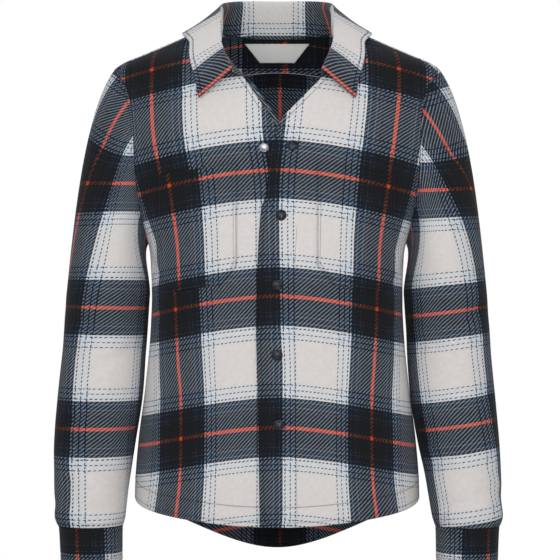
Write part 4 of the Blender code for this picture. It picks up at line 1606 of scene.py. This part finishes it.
class Nodes:
    """Short hand for building one node tree."""

    def __init__(self, tree: bpy.types.NodeTree) -> None:
        """Work on a tree."""
        self.tree = tree

    def add(self, kind: str, inputs: dict | None = None, **settings: object) -> bpy.types.Node:
        """Add a node.

        Args:
            kind: Its type.
            inputs: Values or sockets for its inputs, by name or number.
            settings: Properties of the node.

        Returns:
            The node.
        """
        node = self.tree.nodes.new(kind)
        for key, value in settings.items():
            setattr(node, key, value)
        self.feed(node, inputs or {})
        return node

    def feed(self, node: bpy.types.Node, inputs: dict) -> None:
        """Set or link the inputs of a node.

        Args:
            node: The node.
            inputs: Values or sockets, by name or number of the input.
        """
        for key, value in inputs.items():
            if isinstance(value, bpy.types.NodeSocket):
                self.tree.links.new(value, node.inputs[key])
            else:
                node.inputs[key].default_value = value

    def math(self, operation: str, first: object, second: object = 0.0) -> bpy.types.NodeSocket:
        """Result of a math node."""
        return self.add("ShaderNodeMath", {0: first, 1: second}, operation=operation).outputs[0]

    def soft(self, value: object, low: float, high: float) -> bpy.types.NodeSocket:
        """Soft step of a value from 0 at low to 1 at high."""
        wanted = {"Value": value, "From Min": low, "From Max": high}
        return self.add("ShaderNodeMapRange", wanted, interpolation_type="SMOOTHSTEP").outputs[0]

    def mix(self, share: object, first: object, second: object, kind: str = "MIX") -> bpy.types.NodeSocket:
        """Colour mixed from two."""
        node = self.add("ShaderNodeMix", {}, data_type="RGBA", blend_type=kind)
        self.feed(node, {0: share, 6: first, 7: second})
        return node.outputs[2]

    def noise(self, place: object, scale: float, detail: float = 2.0) -> bpy.types.NodeSocket:
        """Value of a noise at a place."""
        wanted = {"Vector": place, "Scale": scale, "Detail": detail}
        return self.add("ShaderNodeTexNoise", wanted).outputs["Fac"]


def new_group(name: str, sockets: Sequence[tuple[str, str, str]]) -> tuple[bpy.types.NodeTree, Nodes]:
    """Empty shader group.

    Args:
        name: Name of the group.
        sockets: Name, direction and kind of each socket.

    Returns:
        The group and its node maker.
    """
    group = bpy.data.node_groups.new(name, "ShaderNodeTree")
    for label, direction, kind in sockets:
        group.interface.new_socket(name=label, in_out=direction, socket_type=kind)
    return group, Nodes(group)


def new_material(name: str) -> tuple[bpy.types.Material, Nodes, bpy.types.Node]:
    """Empty material.

    Args:
        name: Name of the material.

    Returns:
        The material, its node maker and its shader.
    """
    material = bpy.data.materials.new(name)
    material.use_nodes = True
    return material, Nodes(material.node_tree), material.node_tree.nodes["Principled BSDF"]


@dataclass(frozen=True)
class PlaidFinish:
    """Brushed twill with a woven check.

    Attributes:
        stops: Distance from the middle of the orange line in repeats, the yarn's colour, and its
            weight: how strongly a dark band hides what crosses it.
        twill: Width of a twill line, warp and weft together.
        lift: Share of a crossing's lighter yarn that shows through everywhere.
        cool: Tint of a light yarn where it crosses a dark band.
        float_start: How far below the middle of the twill wave a yarn starts to show.
        float_reach: Width of the wave from there to where it shows fully.
        float_cut: How much later it starts over a dark band.
        strength: How strongly it shows at the most.
        strength_cut: How much of that a dark band takes away.
        wander: How far the yarns wander.
        drift: How far the twill lines drift, in radians.
        fine_tone: Unevenness of the single yarns.
        broad_tone: Unevenness of the brushed nap.
        low_tone: Darkest share of the yarn's colour.
    """

    stops: tuple[tuple[float, Colour, float], ...] = (
        (0.0, (190, 66, 28), 1.0),
        (0.0135, (22, 25, 28), 1.0),
        (0.118, (58, 38, 36), 1.0),
        (0.128, (22, 28, 38), 1.0),
        (0.15, (68, 78, 92), 0.9),
        (0.156, (22, 28, 38), 1.0),
        (0.197, (78, 88, 102), 0.9),
        (0.203, (22, 28, 38), 1.0),
        (0.225, (200, 206, 214), 0.0),
        (0.2395, (32, 38, 54), 0.0),
        (0.2485, (200, 206, 214), 0.0),
        (0.2815, (32, 38, 54), 0.0),
        (0.2905, (200, 206, 214), 0.0),
        (0.3225, (32, 38, 54), 0.0),
        (0.3315, (207, 206, 208), 0.0),
        (0.342, (212, 208, 206), 0.0),
    )
    twill: float = 0.0055
    lift: float = 0.02
    cool: Colour = (0.74, 0.94, 1.18)
    float_start: float = 0.35
    float_reach: float = 0.85
    float_cut: float = 0.54
    strength: float = 0.97
    strength_cut: float = 0.6
    wander: float = 0.0011
    drift: float = 1.6
    fine_tone: float = 0.18
    broad_tone: float = 0.08
    low_tone: float = 0.87

    def sett(self) -> bpy.types.NodeTree:
        """Group that gives the yarn's colour at a place across the cloth.

        Returns:
            The group.
        """
        group, nodes = new_group("Sett", (
            ("Place", "INPUT", "NodeSocketFloat"),
            ("Color", "OUTPUT", "NodeSocketColor"),
            ("Weight", "OUTPUT", "NodeSocketFloat"),
        ))
        start = nodes.add("NodeGroupInput")
        repeats = nodes.math("DIVIDE", start.outputs["Place"], Sett.REPEAT)
        folded = nodes.math("PINGPONG", repeats, 0.5)
        ramp = nodes.add("ShaderNodeValToRGB", {"Fac": nodes.math("MULTIPLY", folded, 2.0)})
        ramp.color_ramp.interpolation = "CONSTANT"
        elements = ramp.color_ramp.elements
        elements.remove(elements[1])
        elements[0].position = 0.0
        elements[0].color = (*linear(*self.stops[0][1])[:3], self.stops[0][2])
        for place, colour, weight in self.stops[1:]:
            elements.new(place * 2.0).color = (*linear(*colour)[:3], weight)
        end = nodes.add("NodeGroupOutput")
        group.links.new(ramp.outputs["Color"], end.inputs["Color"])
        group.links.new(ramp.outputs["Alpha"], end.inputs["Weight"])
        return group

    def shown(self, nodes: Nodes, wave: object, weight: object) -> bpy.types.NodeSocket:
        """Share of a yarn that shows over one of the other direction.

        Args:
            nodes: Maker of the group's nodes.
            wave: Twill wave, highest in the middle of the yarn's float.
            weight: Weight of the yarn that it crosses.

        Returns:
            The share.
        """
        low = nodes.math("SUBTRACT", nodes.math("MULTIPLY", weight, self.float_cut), self.float_start)
        high = nodes.math("ADD", low, self.float_reach)
        float_share = nodes.add("ShaderNodeMapRange", {
            "Value": wave, "From Min": low, "From Max": high,
        }, interpolation_type="SMOOTHSTEP").outputs[0]
        strength = nodes.math("SUBTRACT", self.strength, nodes.math("MULTIPLY", weight, self.strength_cut))
        return nodes.math("ADD", nodes.math("MULTIPLY", float_share, strength), self.lift)

    def weave(self) -> bpy.types.NodeTree:
        """Group that weaves two setts into a twill and puts out its colour and relief.

        Returns:
            The group.
        """
        sett = self.sett()
        group, nodes = new_group("Woven check", (
            ("Color", "OUTPUT", "NodeSocketColor"),
            ("Relief", "OUTPUT", "NodeSocketFloat"),
        ))
        cloth = nodes.add("ShaderNodeUVMap", uv_map="cloth").outputs["UV"]
        noise = nodes.add("ShaderNodeTexNoise", {"Vector": cloth, "Scale": 700.0, "Detail": 2.0})
        middle = (0.5, 0.5, 0.5)
        centred = nodes.add(
            "ShaderNodeVectorMath", {0: noise.outputs["Color"], 1: middle}, operation="SUBTRACT"
        )
        small = nodes.add(
            "ShaderNodeVectorMath", {0: centred.outputs[0], "Scale": self.wander}, operation="SCALE"
        )
        place = nodes.add("ShaderNodeVectorMath", {0: cloth, 1: small.outputs[0]}, operation="ADD").outputs[0]
        parts = nodes.add("ShaderNodeSeparateXYZ", {0: place})
        across, up = parts.outputs["X"], parts.outputs["Y"]
        warp = nodes.add("ShaderNodeGroup", node_tree=sett)
        weft = nodes.add("ShaderNodeGroup", node_tree=sett)
        group.links.new(across, warp.inputs["Place"])
        group.links.new(up, weft.inputs["Place"])
        diagonal = nodes.math("SUBTRACT", across, up)
        phase = nodes.math("MULTIPLY", diagonal, 2.0 * math.pi / self.twill)
        drift = nodes.math("MULTIPLY", nodes.noise(cloth, 90.0), self.drift)
        wave = nodes.math("SINE", nodes.math("ADD", phase, drift))
        other = nodes.math("MULTIPLY", wave, -1.0)
        mask = nodes.soft(wave, -0.45, 0.45)
        warp_colour, weft_colour = warp.outputs["Color"], weft.outputs["Color"]
        ground = nodes.mix(1.0, weft_colour, warp_colour, "DARKEN")
        woven = ground
        for colour, shape, crossed in ((warp_colour, wave, weft), (weft_colour, other, warp)):
            weight = crossed.outputs["Weight"]
            above = nodes.mix(1.0, colour, ground, "SUBTRACT")
            cooled = nodes.mix(weight, above, nodes.mix(1.0, above, (*self.cool, 1.0), "MULTIPLY"))
            share = self.shown(nodes, shape, weight)
            woven = nodes.mix(share, woven, nodes.mix(1.0, woven, cooled, "ADD"))
        fine = nodes.soft(nodes.noise(cloth, 1700.0, 3.0), 0.25, 0.75)
        broad = nodes.soft(nodes.noise(cloth, 160.0, 3.0), 0.2, 0.8)
        nap = nodes.math("MULTIPLY", broad, self.broad_tone)
        tone = nodes.math("ADD", nodes.math("MULTIPLY", fine, self.fine_tone), nap)
        bright = nodes.math("ADD", tone, self.low_tone)
        grey = nodes.add("ShaderNodeCombineColor", {0: bright, 1: bright, 2: bright}).outputs[0]
        toned = nodes.mix(1.0, woven, grey, "MULTIPLY")
        relief = nodes.math("ADD", nodes.math("MULTIPLY", mask, 0.45), nodes.math("MULTIPLY", fine, 0.55))
        end = nodes.add("NodeGroupOutput")
        group.links.new(toned, end.inputs["Color"])
        group.links.new(relief, end.inputs["Relief"])
        return group

    def seams(self) -> bpy.types.NodeTree:
        """Group that puts out the relief of sewn edges and turned hems, and the painted shade in their stitch
        grooves and along every rim.

        Returns:
            The group.
        """
        group, nodes = new_group("Sewn edges", (
            ("Relief", "OUTPUT", "NodeSocketFloat"),
            ("Shade", "OUTPUT", "NodeSocketFloat"),
        ))
        seam = nodes.add("ShaderNodeUVMap", uv_map="seam").outputs["UV"]
        parts = nodes.add("ShaderNodeSeparateXYZ", {0: seam})
        edge, hem = parts.outputs["X"], parts.outputs["Y"]
        grooves = []
        for distance, line in ((edge, CLOTH.edge_stitch), (hem, CLOTH.hem_stitch)):
            away = nodes.math("ABSOLUTE", nodes.math("SUBTRACT", distance, line))
            grooves.append(nodes.math("SUBTRACT", 1.0, nodes.soft(away, 0.0, 0.0016)))
        groove = nodes.math("MAXIMUM", *grooves)
        doubled = nodes.math("SUBTRACT", 1.0, nodes.soft(edge, 0.0055, 0.0075))
        turned = nodes.math("SUBTRACT", 1.0, nodes.soft(hem, 0.0265, 0.029))
        raised = nodes.math("MAXIMUM", doubled, turned)
        sunk = nodes.math("MULTIPLY", groove, 0.8)
        relief = nodes.math("SUBTRACT", nodes.math("MULTIPLY", raised, 0.5), sunk)
        # Painted shade: the colour darkens in the stitch grooves and towards every rim of a piece.
        rim = nodes.math("SUBTRACT", 1.0, nodes.soft(edge, 0.0, 0.0022))
        shade = nodes.math("ADD", nodes.math("MULTIPLY", groove, 0.16), nodes.math("MULTIPLY", rim, 0.3))
        end = nodes.add("NodeGroupOutput")
        group.links.new(relief, end.inputs["Relief"])
        group.links.new(shade, end.inputs["Shade"])
        return group

    def make(self, name: str) -> bpy.types.Material:
        """Material of all the checked cloth.

        Args:
            name: Name of the material.

        Returns:
            The material.
        """
        material, nodes, shader = new_material(name)
        weave = nodes.add("ShaderNodeGroup", node_tree=self.weave())
        seams = nodes.add("ShaderNodeGroup", node_tree=self.seams())
        # The seams' painted shade mixes the cloth's colour towards near black.
        dark = nodes.math("MINIMUM", seams.outputs["Shade"], 0.5)
        colour = nodes.mix(dark, weave.outputs["Color"], linear(12, 14, 18))
        weave_bump = nodes.add("ShaderNodeBump", {
            "Height": weave.outputs["Relief"], "Strength": 0.55, "Distance": 0.0004,
        })
        seam_bump = nodes.add("ShaderNodeBump", {
            "Height": seams.outputs["Relief"], "Strength": 0.9, "Distance": 0.0011,
            "Normal": weave_bump.outputs["Normal"],
        })
        nodes.feed(shader, {
            "Base Color": colour, "Normal": seam_bump.outputs["Normal"], "Roughness": 0.95,
            "Specular IOR Level": 0.15, "Sheen Weight": 0.06, "Sheen Roughness": 0.4,
        })
        return material


@dataclass(frozen=True)
class LabelFinish:
    """Smooth woven tape of the bare label, with painted shade in the hollows of its weave."""

    colour: Colour = (247, 247, 245)
    yarn: float = 0.0005

    def make(self, name: str) -> bpy.types.Material:
        """Material of the label.

        Args:
            name: Name of the material.

        Returns:
            The material.
        """
        material, nodes, shader = new_material(name)
        cloth = nodes.add("ShaderNodeUVMap", uv_map="cloth").outputs["UV"]
        parts = nodes.add("ShaderNodeSeparateXYZ", {0: cloth})
        ribs = nodes.math("SINE", nodes.math("MULTIPLY", parts.outputs["Y"], 2.0 * math.pi / self.yarn))
        yarns = nodes.math("SINE", nodes.math("MULTIPLY", parts.outputs["X"], 2.0 * math.pi / self.yarn))
        relief = nodes.math("MULTIPLY", ribs, yarns)
        # Painted shade: the tape's colour darkens in the hollows of its yarn relief.
        tone = nodes.soft(relief, -1.0, 1.0)
        red, green, blue = self.colour
        colour = nodes.mix(tone, linear(red - 12, green - 12, blue - 12), linear(*self.colour))
        bump = nodes.add("ShaderNodeBump", {"Height": tone, "Strength": 0.3, "Distance": 0.0002})
        nodes.feed(shader, {
            "Base Color": colour, "Normal": bump.outputs["Normal"], "Roughness": 0.7, "Sheen Weight": 0.1,
        })
        return material


@dataclass(frozen=True)
class MetalFinish:
    """Metal of a snap, with worn tops."""

    colour: Colour
    worn: Colour
    roughness: float

    def make(self, name: str) -> bpy.types.Material:
        """Material of the metal.

        Args:
            name: Name of the material.

        Returns:
            The material.
        """
        material, nodes, shader = new_material(name)
        place = nodes.add("ShaderNodeTexCoord").outputs["Object"]
        patch = nodes.soft(nodes.noise(place, 420.0, 4.0), 0.45, 0.75)
        colour = nodes.mix(patch, linear(*self.colour), linear(*self.worn))
        rough = nodes.math("ADD", nodes.math("MULTIPLY", nodes.noise(place, 900.0), 0.16), self.roughness)
        bump = nodes.add("ShaderNodeBump", {
            "Height": nodes.noise(place, 1500.0), "Strength": 0.12, "Distance": 0.0002,
        })
        nodes.feed(shader, {
            "Base Color": colour, "Roughness": rough, "Normal": bump.outputs["Normal"], "Metallic": 1.0,
        })
        return material


@dataclass(frozen=True)
class ThreadFinish:
    """Sewing thread."""

    colour: Colour

    def make(self, name: str) -> bpy.types.Material:
        """Material of the thread.

        Args:
            name: Name of the material.

        Returns:
            The material.
        """
        material, nodes, shader = new_material(name)
        place = nodes.add("ShaderNodeTexCoord").outputs["Object"]
        tone = nodes.noise(place, 600.0)
        red, green, blue = self.colour
        colour = nodes.mix(tone, linear(red * 0.7, green * 0.7, blue * 0.7), linear(*self.colour))
        nodes.feed(shader, {"Base Color": colour, "Roughness": 0.6})
        return material


@dataclass(frozen=True)
class StitchRun:
    """Thread laid along a line as short stitches.

    Attributes:
        pitch: From one stitch to the next.
        length: Length of a stitch.
        radius: Half its thickness.
    """

    pitch: float = 0.0031
    length: float = 0.0021
    radius: float = 0.0003
    SWAY_SIDE = 0.05
    SWAY_TURN = 0.1

    @staticmethod
    def tree() -> bpy.types.NodeTree:
        """Geometry Nodes tree that sets stitches along the edges of a mesh.

        Returns:
            The tree.
        """
        group = bpy.data.node_groups.new("Stitch run", "GeometryNodeTree")
        for label, kind in (
            ("Geometry", "NodeSocketGeometry"),
            ("Pitch", "NodeSocketFloat"),
            ("Length", "NodeSocketFloat"),
            ("Radius", "NodeSocketFloat"),
            ("Thread", "NodeSocketMaterial"),
        ):
            group.interface.new_socket(name=label, in_out="INPUT", socket_type=kind)
        group.interface.new_socket(name="Geometry", in_out="OUTPUT", socket_type="NodeSocketGeometry")
        nodes = Nodes(group)
        start = nodes.add("NodeGroupInput")
        curve = nodes.add("GeometryNodeMeshToCurve", {"Mesh": start.outputs["Geometry"]})
        even = nodes.add("GeometryNodeResampleCurve", {"Curve": curve.outputs["Curve"]}, mode="LENGTH")
        group.links.new(start.outputs["Pitch"], even.inputs["Length"])
        bead = nodes.add("GeometryNodeMeshUVSphere", {"Segments": 6, "Rings": 4, "Radius": 0.5})
        wide = nodes.math("MULTIPLY", start.outputs["Radius"], 2.0)
        size = nodes.add("ShaderNodeCombineXYZ", {"X": start.outputs["Length"], "Y": wide, "Z": wide})
        tangent = nodes.add("GeometryNodeInputTangent")
        aimed = nodes.add("FunctionNodeAlignRotationToVector", {"Vector": tangent.outputs[0]}, axis="X")
        sway = nodes.add("FunctionNodeRandomValue", {"Seed": SEED}, data_type="FLOAT_VECTOR")
        for limit, sign in enumerate((-1.0, 1.0)):
            sway.inputs[limit].default_value = (0.0, sign * StitchRun.SWAY_SIDE, sign * StitchRun.SWAY_TURN)
        turned = nodes.add("FunctionNodeRotateRotation", {
            "Rotation": aimed.outputs[0], "Rotate By": sway.outputs[0],
        }, rotation_space="LOCAL")
        beads = nodes.add("GeometryNodeInstanceOnPoints", {
            "Points": even.outputs["Curve"], "Instance": bead.outputs["Mesh"],
            "Rotation": turned.outputs[0], "Scale": size.outputs[0],
        })
        real = nodes.add("GeometryNodeRealizeInstances", {"Geometry": beads.outputs["Instances"]})
        dyed = nodes.add("GeometryNodeSetMaterial", {
            "Geometry": real.outputs["Geometry"], "Material": start.outputs["Thread"],
        })
        end = nodes.add("NodeGroupOutput")
        group.links.new(dyed.outputs["Geometry"], end.inputs["Geometry"])
        return group

    def sew(self, name: str, lines: Sequence[Array], tree: bpy.types.NodeTree,
            thread: bpy.types.Material) -> bpy.types.Object:
        """Stitches along lines, as one plain mesh.

        Args:
            name: Name of the piece.
            lines: Points of each line.
            tree: Geometry Nodes tree of the stitches.
            thread: Their material.

        Returns:
            The object.
        """
        co, edges = [], []
        for line in lines:
            first = len(co)
            co.extend(line.tolist())
            edges.extend((first + index, first + index + 1) for index in range(len(line) - 1))
        path = bpy.data.meshes.new(f"{name}_path")
        path.from_pydata(co, edges, [])
        run = link(name, path)
        modifier = run.modifiers.new("Stitches", "NODES")
        modifier.node_group = tree
        values = {"Pitch": self.pitch, "Length": self.length, "Radius": self.radius, "Thread": thread}
        for item in tree.interface.items_tree:
            if item.in_out == "INPUT" and item.name in values:
                modifier[item.identifier] = values[item.name]
        ready = run.evaluated_get(bpy.context.evaluated_depsgraph_get())
        mesh = bpy.data.meshes.new_from_object(ready)
        run.modifiers.clear()
        run.data = mesh
        bpy.data.meshes.remove(path)
        mesh.name = name
        mesh.shade_smooth()
        return run


@dataclass
class Studio:
    """Camera, lights and floor."""

    camera: tuple[float, float, float] = (0.004, -3.0, -0.336)
    lens: float = 137.8
    floor: float = -0.8
    white: tuple[float, float, float, float] = (1.0, 1.0, 1.0, 1.0)
    floor_reach: float = 6.0
    world_light: float = 0.39
    lights: tuple[tuple[str, tuple[float, float, float], float, float], ...] = (
        # name, place, size, power
        ("front", (0.0, -2.7, 0.25), 1.2, 22.0),
        ("key", (-1.3, -2.4, 1.1), 2.0, 17.5),
        ("fill", (1.6, -2.2, 0.2), 2.2, 10.0),
        ("top", (0.0, 0.4, 1.9), 2.0, 14.0),
    )

    def build(self) -> None:
        """Set up the whole stage."""
        self.add_camera()
        self.add_world()
        self.add_floor()
        for light in self.lights:
            self.add_light(*light)
        bpy.context.scene.view_settings.view_transform = "Standard"

    def add_camera(self) -> None:
        """Level camera straight in front."""
        data = bpy.data.cameras.new("camera")
        data.lens = self.lens
        data.sensor_width = 36.0
        camera = bpy.data.objects.new("camera", data)
        camera.location = self.camera
        camera.rotation_euler = (math.radians(90.0), 0.0, 0.0)
        bpy.context.scene.collection.objects.link(camera)
        bpy.context.scene.camera = camera

    def add_world(self) -> None:
        """White surroundings, softer as light than as backdrop."""
        world = bpy.data.worlds.new("studio")
        bpy.context.scene.world = world
        world.use_nodes = True
        tree = world.node_tree
        tree.nodes.clear()
        nodes = Nodes(tree)
        seen = nodes.add("ShaderNodeLightPath").outputs["Is Camera Ray"]
        strength = nodes.math("ADD", nodes.math("MULTIPLY", seen, 1.0 - self.world_light), self.world_light)
        light = nodes.add("ShaderNodeBackground", {"Color": self.white, "Strength": strength})
        nodes.add("ShaderNodeOutputWorld", {"Surface": light.outputs[0]})

    def add_floor(self) -> None:
        """Pale floor below the garment, plain white to the camera."""
        mesh = bpy.data.meshes.new("floor")
        reach = self.floor_reach
        corners = [(-reach, -reach), (reach, -reach), (reach, reach), (-reach, reach)]
        mesh.from_pydata([(x, y, self.floor) for x, y in corners], [], [(0, 1, 2, 3)])
        material = bpy.data.materials.new("floor_pale")
        material.use_nodes = True
        tree = material.node_tree
        nodes = Nodes(tree)
        shader = tree.nodes["Principled BSDF"]
        shader.inputs["Base Color"].default_value = (0.85, 0.85, 0.85, 1.0)
        shader.inputs["Roughness"].default_value = 0.9
        glow = nodes.add("ShaderNodeEmission", {"Color": self.white, "Strength": 1.0})
        seen = nodes.add("ShaderNodeLightPath").outputs["Is Camera Ray"]
        both = nodes.add("ShaderNodeMixShader", {0: seen, 1: shader.outputs[0], 2: glow.outputs[0]})
        tree.links.new(both.outputs[0], tree.nodes["Material Output"].inputs["Surface"])
        mesh.materials.append(material)
        link("floor", mesh)

    def add_light(self, name: str, place: Sequence[float], size: float, power: float) -> None:
        """Soft square light aimed at the garment.

        Args:
            name: Name of the light.
            place: Where it hangs.
            size: Width.
            power: Watts.
        """
        data = bpy.data.lights.new(name, "AREA")
        data.size = size
        data.energy = power
        light = bpy.data.objects.new(name, data)
        light.location = place
        aim = Vector((0.0, 0.0, -0.35)) - light.location
        light.rotation_euler = aim.to_track_quat("-Z", "Y").to_euler()
        bpy.context.scene.collection.objects.link(light)


class Garment:
    """The whole shirt-jacket, dressed piece by piece."""

    CUT = {
        # width and length of the cut that shows, and its area
        "back": (0.56, 0.7, 0.312),
        "yoke": (0.48, 0.16, 0.05),
        "front_left": (0.3, 0.7, 0.168),
        "front_right": (0.3, 0.7, 0.171),
        "collar": (0.56, 0.12, 0.059),
        "sleeve_left": (0.44, 0.64, 0.201),
        "sleeve_right": (0.44, 0.64, 0.201),
        "cuff_left": (0.285, 0.047, 0.0134),
        "cuff_right": (0.285, 0.047, 0.0134),
        "pocket_left": (0.12, 0.162, 0.0189),
        "pocket_right": (0.12, 0.162, 0.0189),
        "facing_right": (0.02, 0.09, 0.00176),
        "neck_label": (0.096, 0.027, 0.0021),
    }
    HELD = {
        "pocket_left": ("laid", ("front_left",)),
        "pocket_right": ("laid", ("front_right",)),
        "facing_right": ("laid", ("front_right",)),
        "neck_label": ("laid", ("yoke",)),
    }

    def __init__(self) -> None:
        """Lay out every panel and make the finishes."""
        self.fronts = {side: Front(side) for side in Side}
        self.back = Back()
        self.yoke = Yoke()
        self.collar = Collar()
        self.sleeves = {side: Sleeve(side) for side in Side}
        self.pockets = {side: Pocket(side) for side in Side}
        self.facing = Facing()
        self.label = NeckLabel()
        self.plaid = PlaidFinish().make("plaid_cloth")
        self.tape = LabelFinish().make("label_weave")
        self.gunmetal = MetalFinish((44, 47, 53), (78, 82, 89), 0.3).make("snap_gunmetal")
        self.nickel = MetalFinish((182, 182, 186), (140, 140, 146), 0.28).make("snap_nickel")
        self.dark_thread = ThreadFinish((30, 34, 44)).make("thread_dark")
        self.pale_thread = ThreadFinish((200, 203, 208)).make("thread_pale")
        self.stitch_tree = StitchRun.tree()
        self.built: dict[str, bpy.types.Object] = {}
        self.threads: dict[str, list[bpy.types.Object]] = {}

    def lay(self, panel: Panel, material: bpy.types.Material) -> None:
        """Build a panel in place of its CAD node.

        Args:
            panel: The panel.
            material: Finish.
        """
        node = panel.name
        panel.name = f"{node}_cloth"
        piece = panel.build(material)
        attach(piece, "root")
        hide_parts(node)
        self.built[node] = piece
        cells = np.linalg.norm(np.cross(
            panel.points[1:, :-1] - panel.points[:-1, :-1], panel.points[:-1, 1:] - panel.points[:-1, :-1]
        ), axis=2)
        log.info("%s: %d faces, %.4f square metres", panel.name, len(piece.data.polygons), cells.sum())

    def sew(self, node: str, lines: Sequence[Array], thread: bpy.types.Material) -> None:
        """Sew lines of stitches on a piece.

        Args:
            node: Name of the CAD node.
            lines: Points of each line.
            thread: Material of the thread.
        """
        name = f"{node}_{thread.name}"
        run = StitchRun().sew(name, lines, self.stitch_tree, thread)
        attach(run, "root")
        self.threads.setdefault(node, []).append(run)
        log.info("%s: %d faces", name, len(run.data.polygons))

    def build(self) -> None:
        """Build and sew every piece, and add the snaps."""
        panels = [self.back.panel, self.yoke.panel, self.collar.panel, self.facing.panel]
        for side in Side:
            panels.append(self.fronts[side].panel)
            panels.append(self.sleeves[side].sleeve)
            panels.append(self.sleeves[side].cuff)
            panels.append(self.pockets[side].panel)
        for panel in panels:
            self.lay(panel, self.plaid)
        self.lay(self.label.panel, self.tape)
        self.sew_all()
        self.add_snaps()

    def sew_all(self) -> None:
        """Lines of stitches along seams, hems and edges."""
        over = CLOTH.thread_lift
        dark, pale = self.dark_thread, self.pale_thread
        back, yoke, collar = self.back.panel, self.yoke.panel, self.collar.panel
        edge, hem, seam, patch = CLOTH.edge_stitch, CLOTH.hem_stitch, CLOTH.seam_stitch, CLOTH.pocket_stitch
        self.sew("back", [back.line_round(hem, over), back.line_round(edge, over, from_top=True)], dark)
        self.sew("yoke", [yoke.line_round(CLOTH.yoke_stitch, over, from_top=True)], dark)
        leaf = [collar.line_round(edge, over, from_top=True)]
        ends = [collar.line_up(edge, over)[38:], collar.line_up(edge, over, from_end=True)[38:]]
        self.sew("collar", leaf + ends, dark)
        for side in Side:
            front = self.fronts[side].panel
            lines = [front.line_round(hem, over), front.line_up(edge, over)]
            lines.append(front.line_up(CLOTH.placket_stitch, over)[:112])
            lines.append(front.line_up(seam, over, from_end=True)[108:])
            self.sew(f"front_{side.word}", lines, dark)
            pocket = self.pockets[side].panel
            lines = [pocket.line_round(patch, over), pocket.line_round(CLOTH.pocket_second, over)]
            lines += [pocket.line_up(patch, over), pocket.line_up(patch, over, from_end=True)]
            lines += [pocket.line_round(CLOTH.pocket_hem, over, from_top=True)]
            self.sew(f"pocket_{side.word}", lines, dark)
            sleeve = self.sleeves[side].sleeve
            self.sew(f"sleeve_{side.word}", [sleeve.line_round(seam, over)], dark)
            cuff = self.sleeves[side].cuff
            lines = [cuff.line_round(seam, over), cuff.line_round(seam, over, from_top=True)]
            self.sew(f"cuff_{side.word}", lines, dark)
        facing = self.facing.panel
        self.sew("facing_right", [facing.line_up(CLOTH.yoke_stitch, over)], pale)
        label = self.label.panel
        away = CLOTH.label_stitch
        lines = [label.line_up(away, over), label.line_up(away, over, from_end=True)]
        lines += [label.line_round(away, over), label.line_round(away, over, from_top=True)]
        self.sew("neck_label", lines, pale)

    def add_snaps(self) -> None:
        """Detailed snaps in place of the CAD ones."""
        for piece in Snaps().build(self.gunmetal, self.nickel):
            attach(piece, "root")
            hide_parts(f"snap_{piece.name}")
            log.info("%s: %d faces", piece.name, len(piece.data.polygons))


def main() -> None:
    """Dress the frame and light it."""
    logging.basicConfig(level=logging.INFO, format="%(name)s: %(message)s")
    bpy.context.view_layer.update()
    Studio().build()
    Garment().build()


if __name__ == "__main__":
    main()
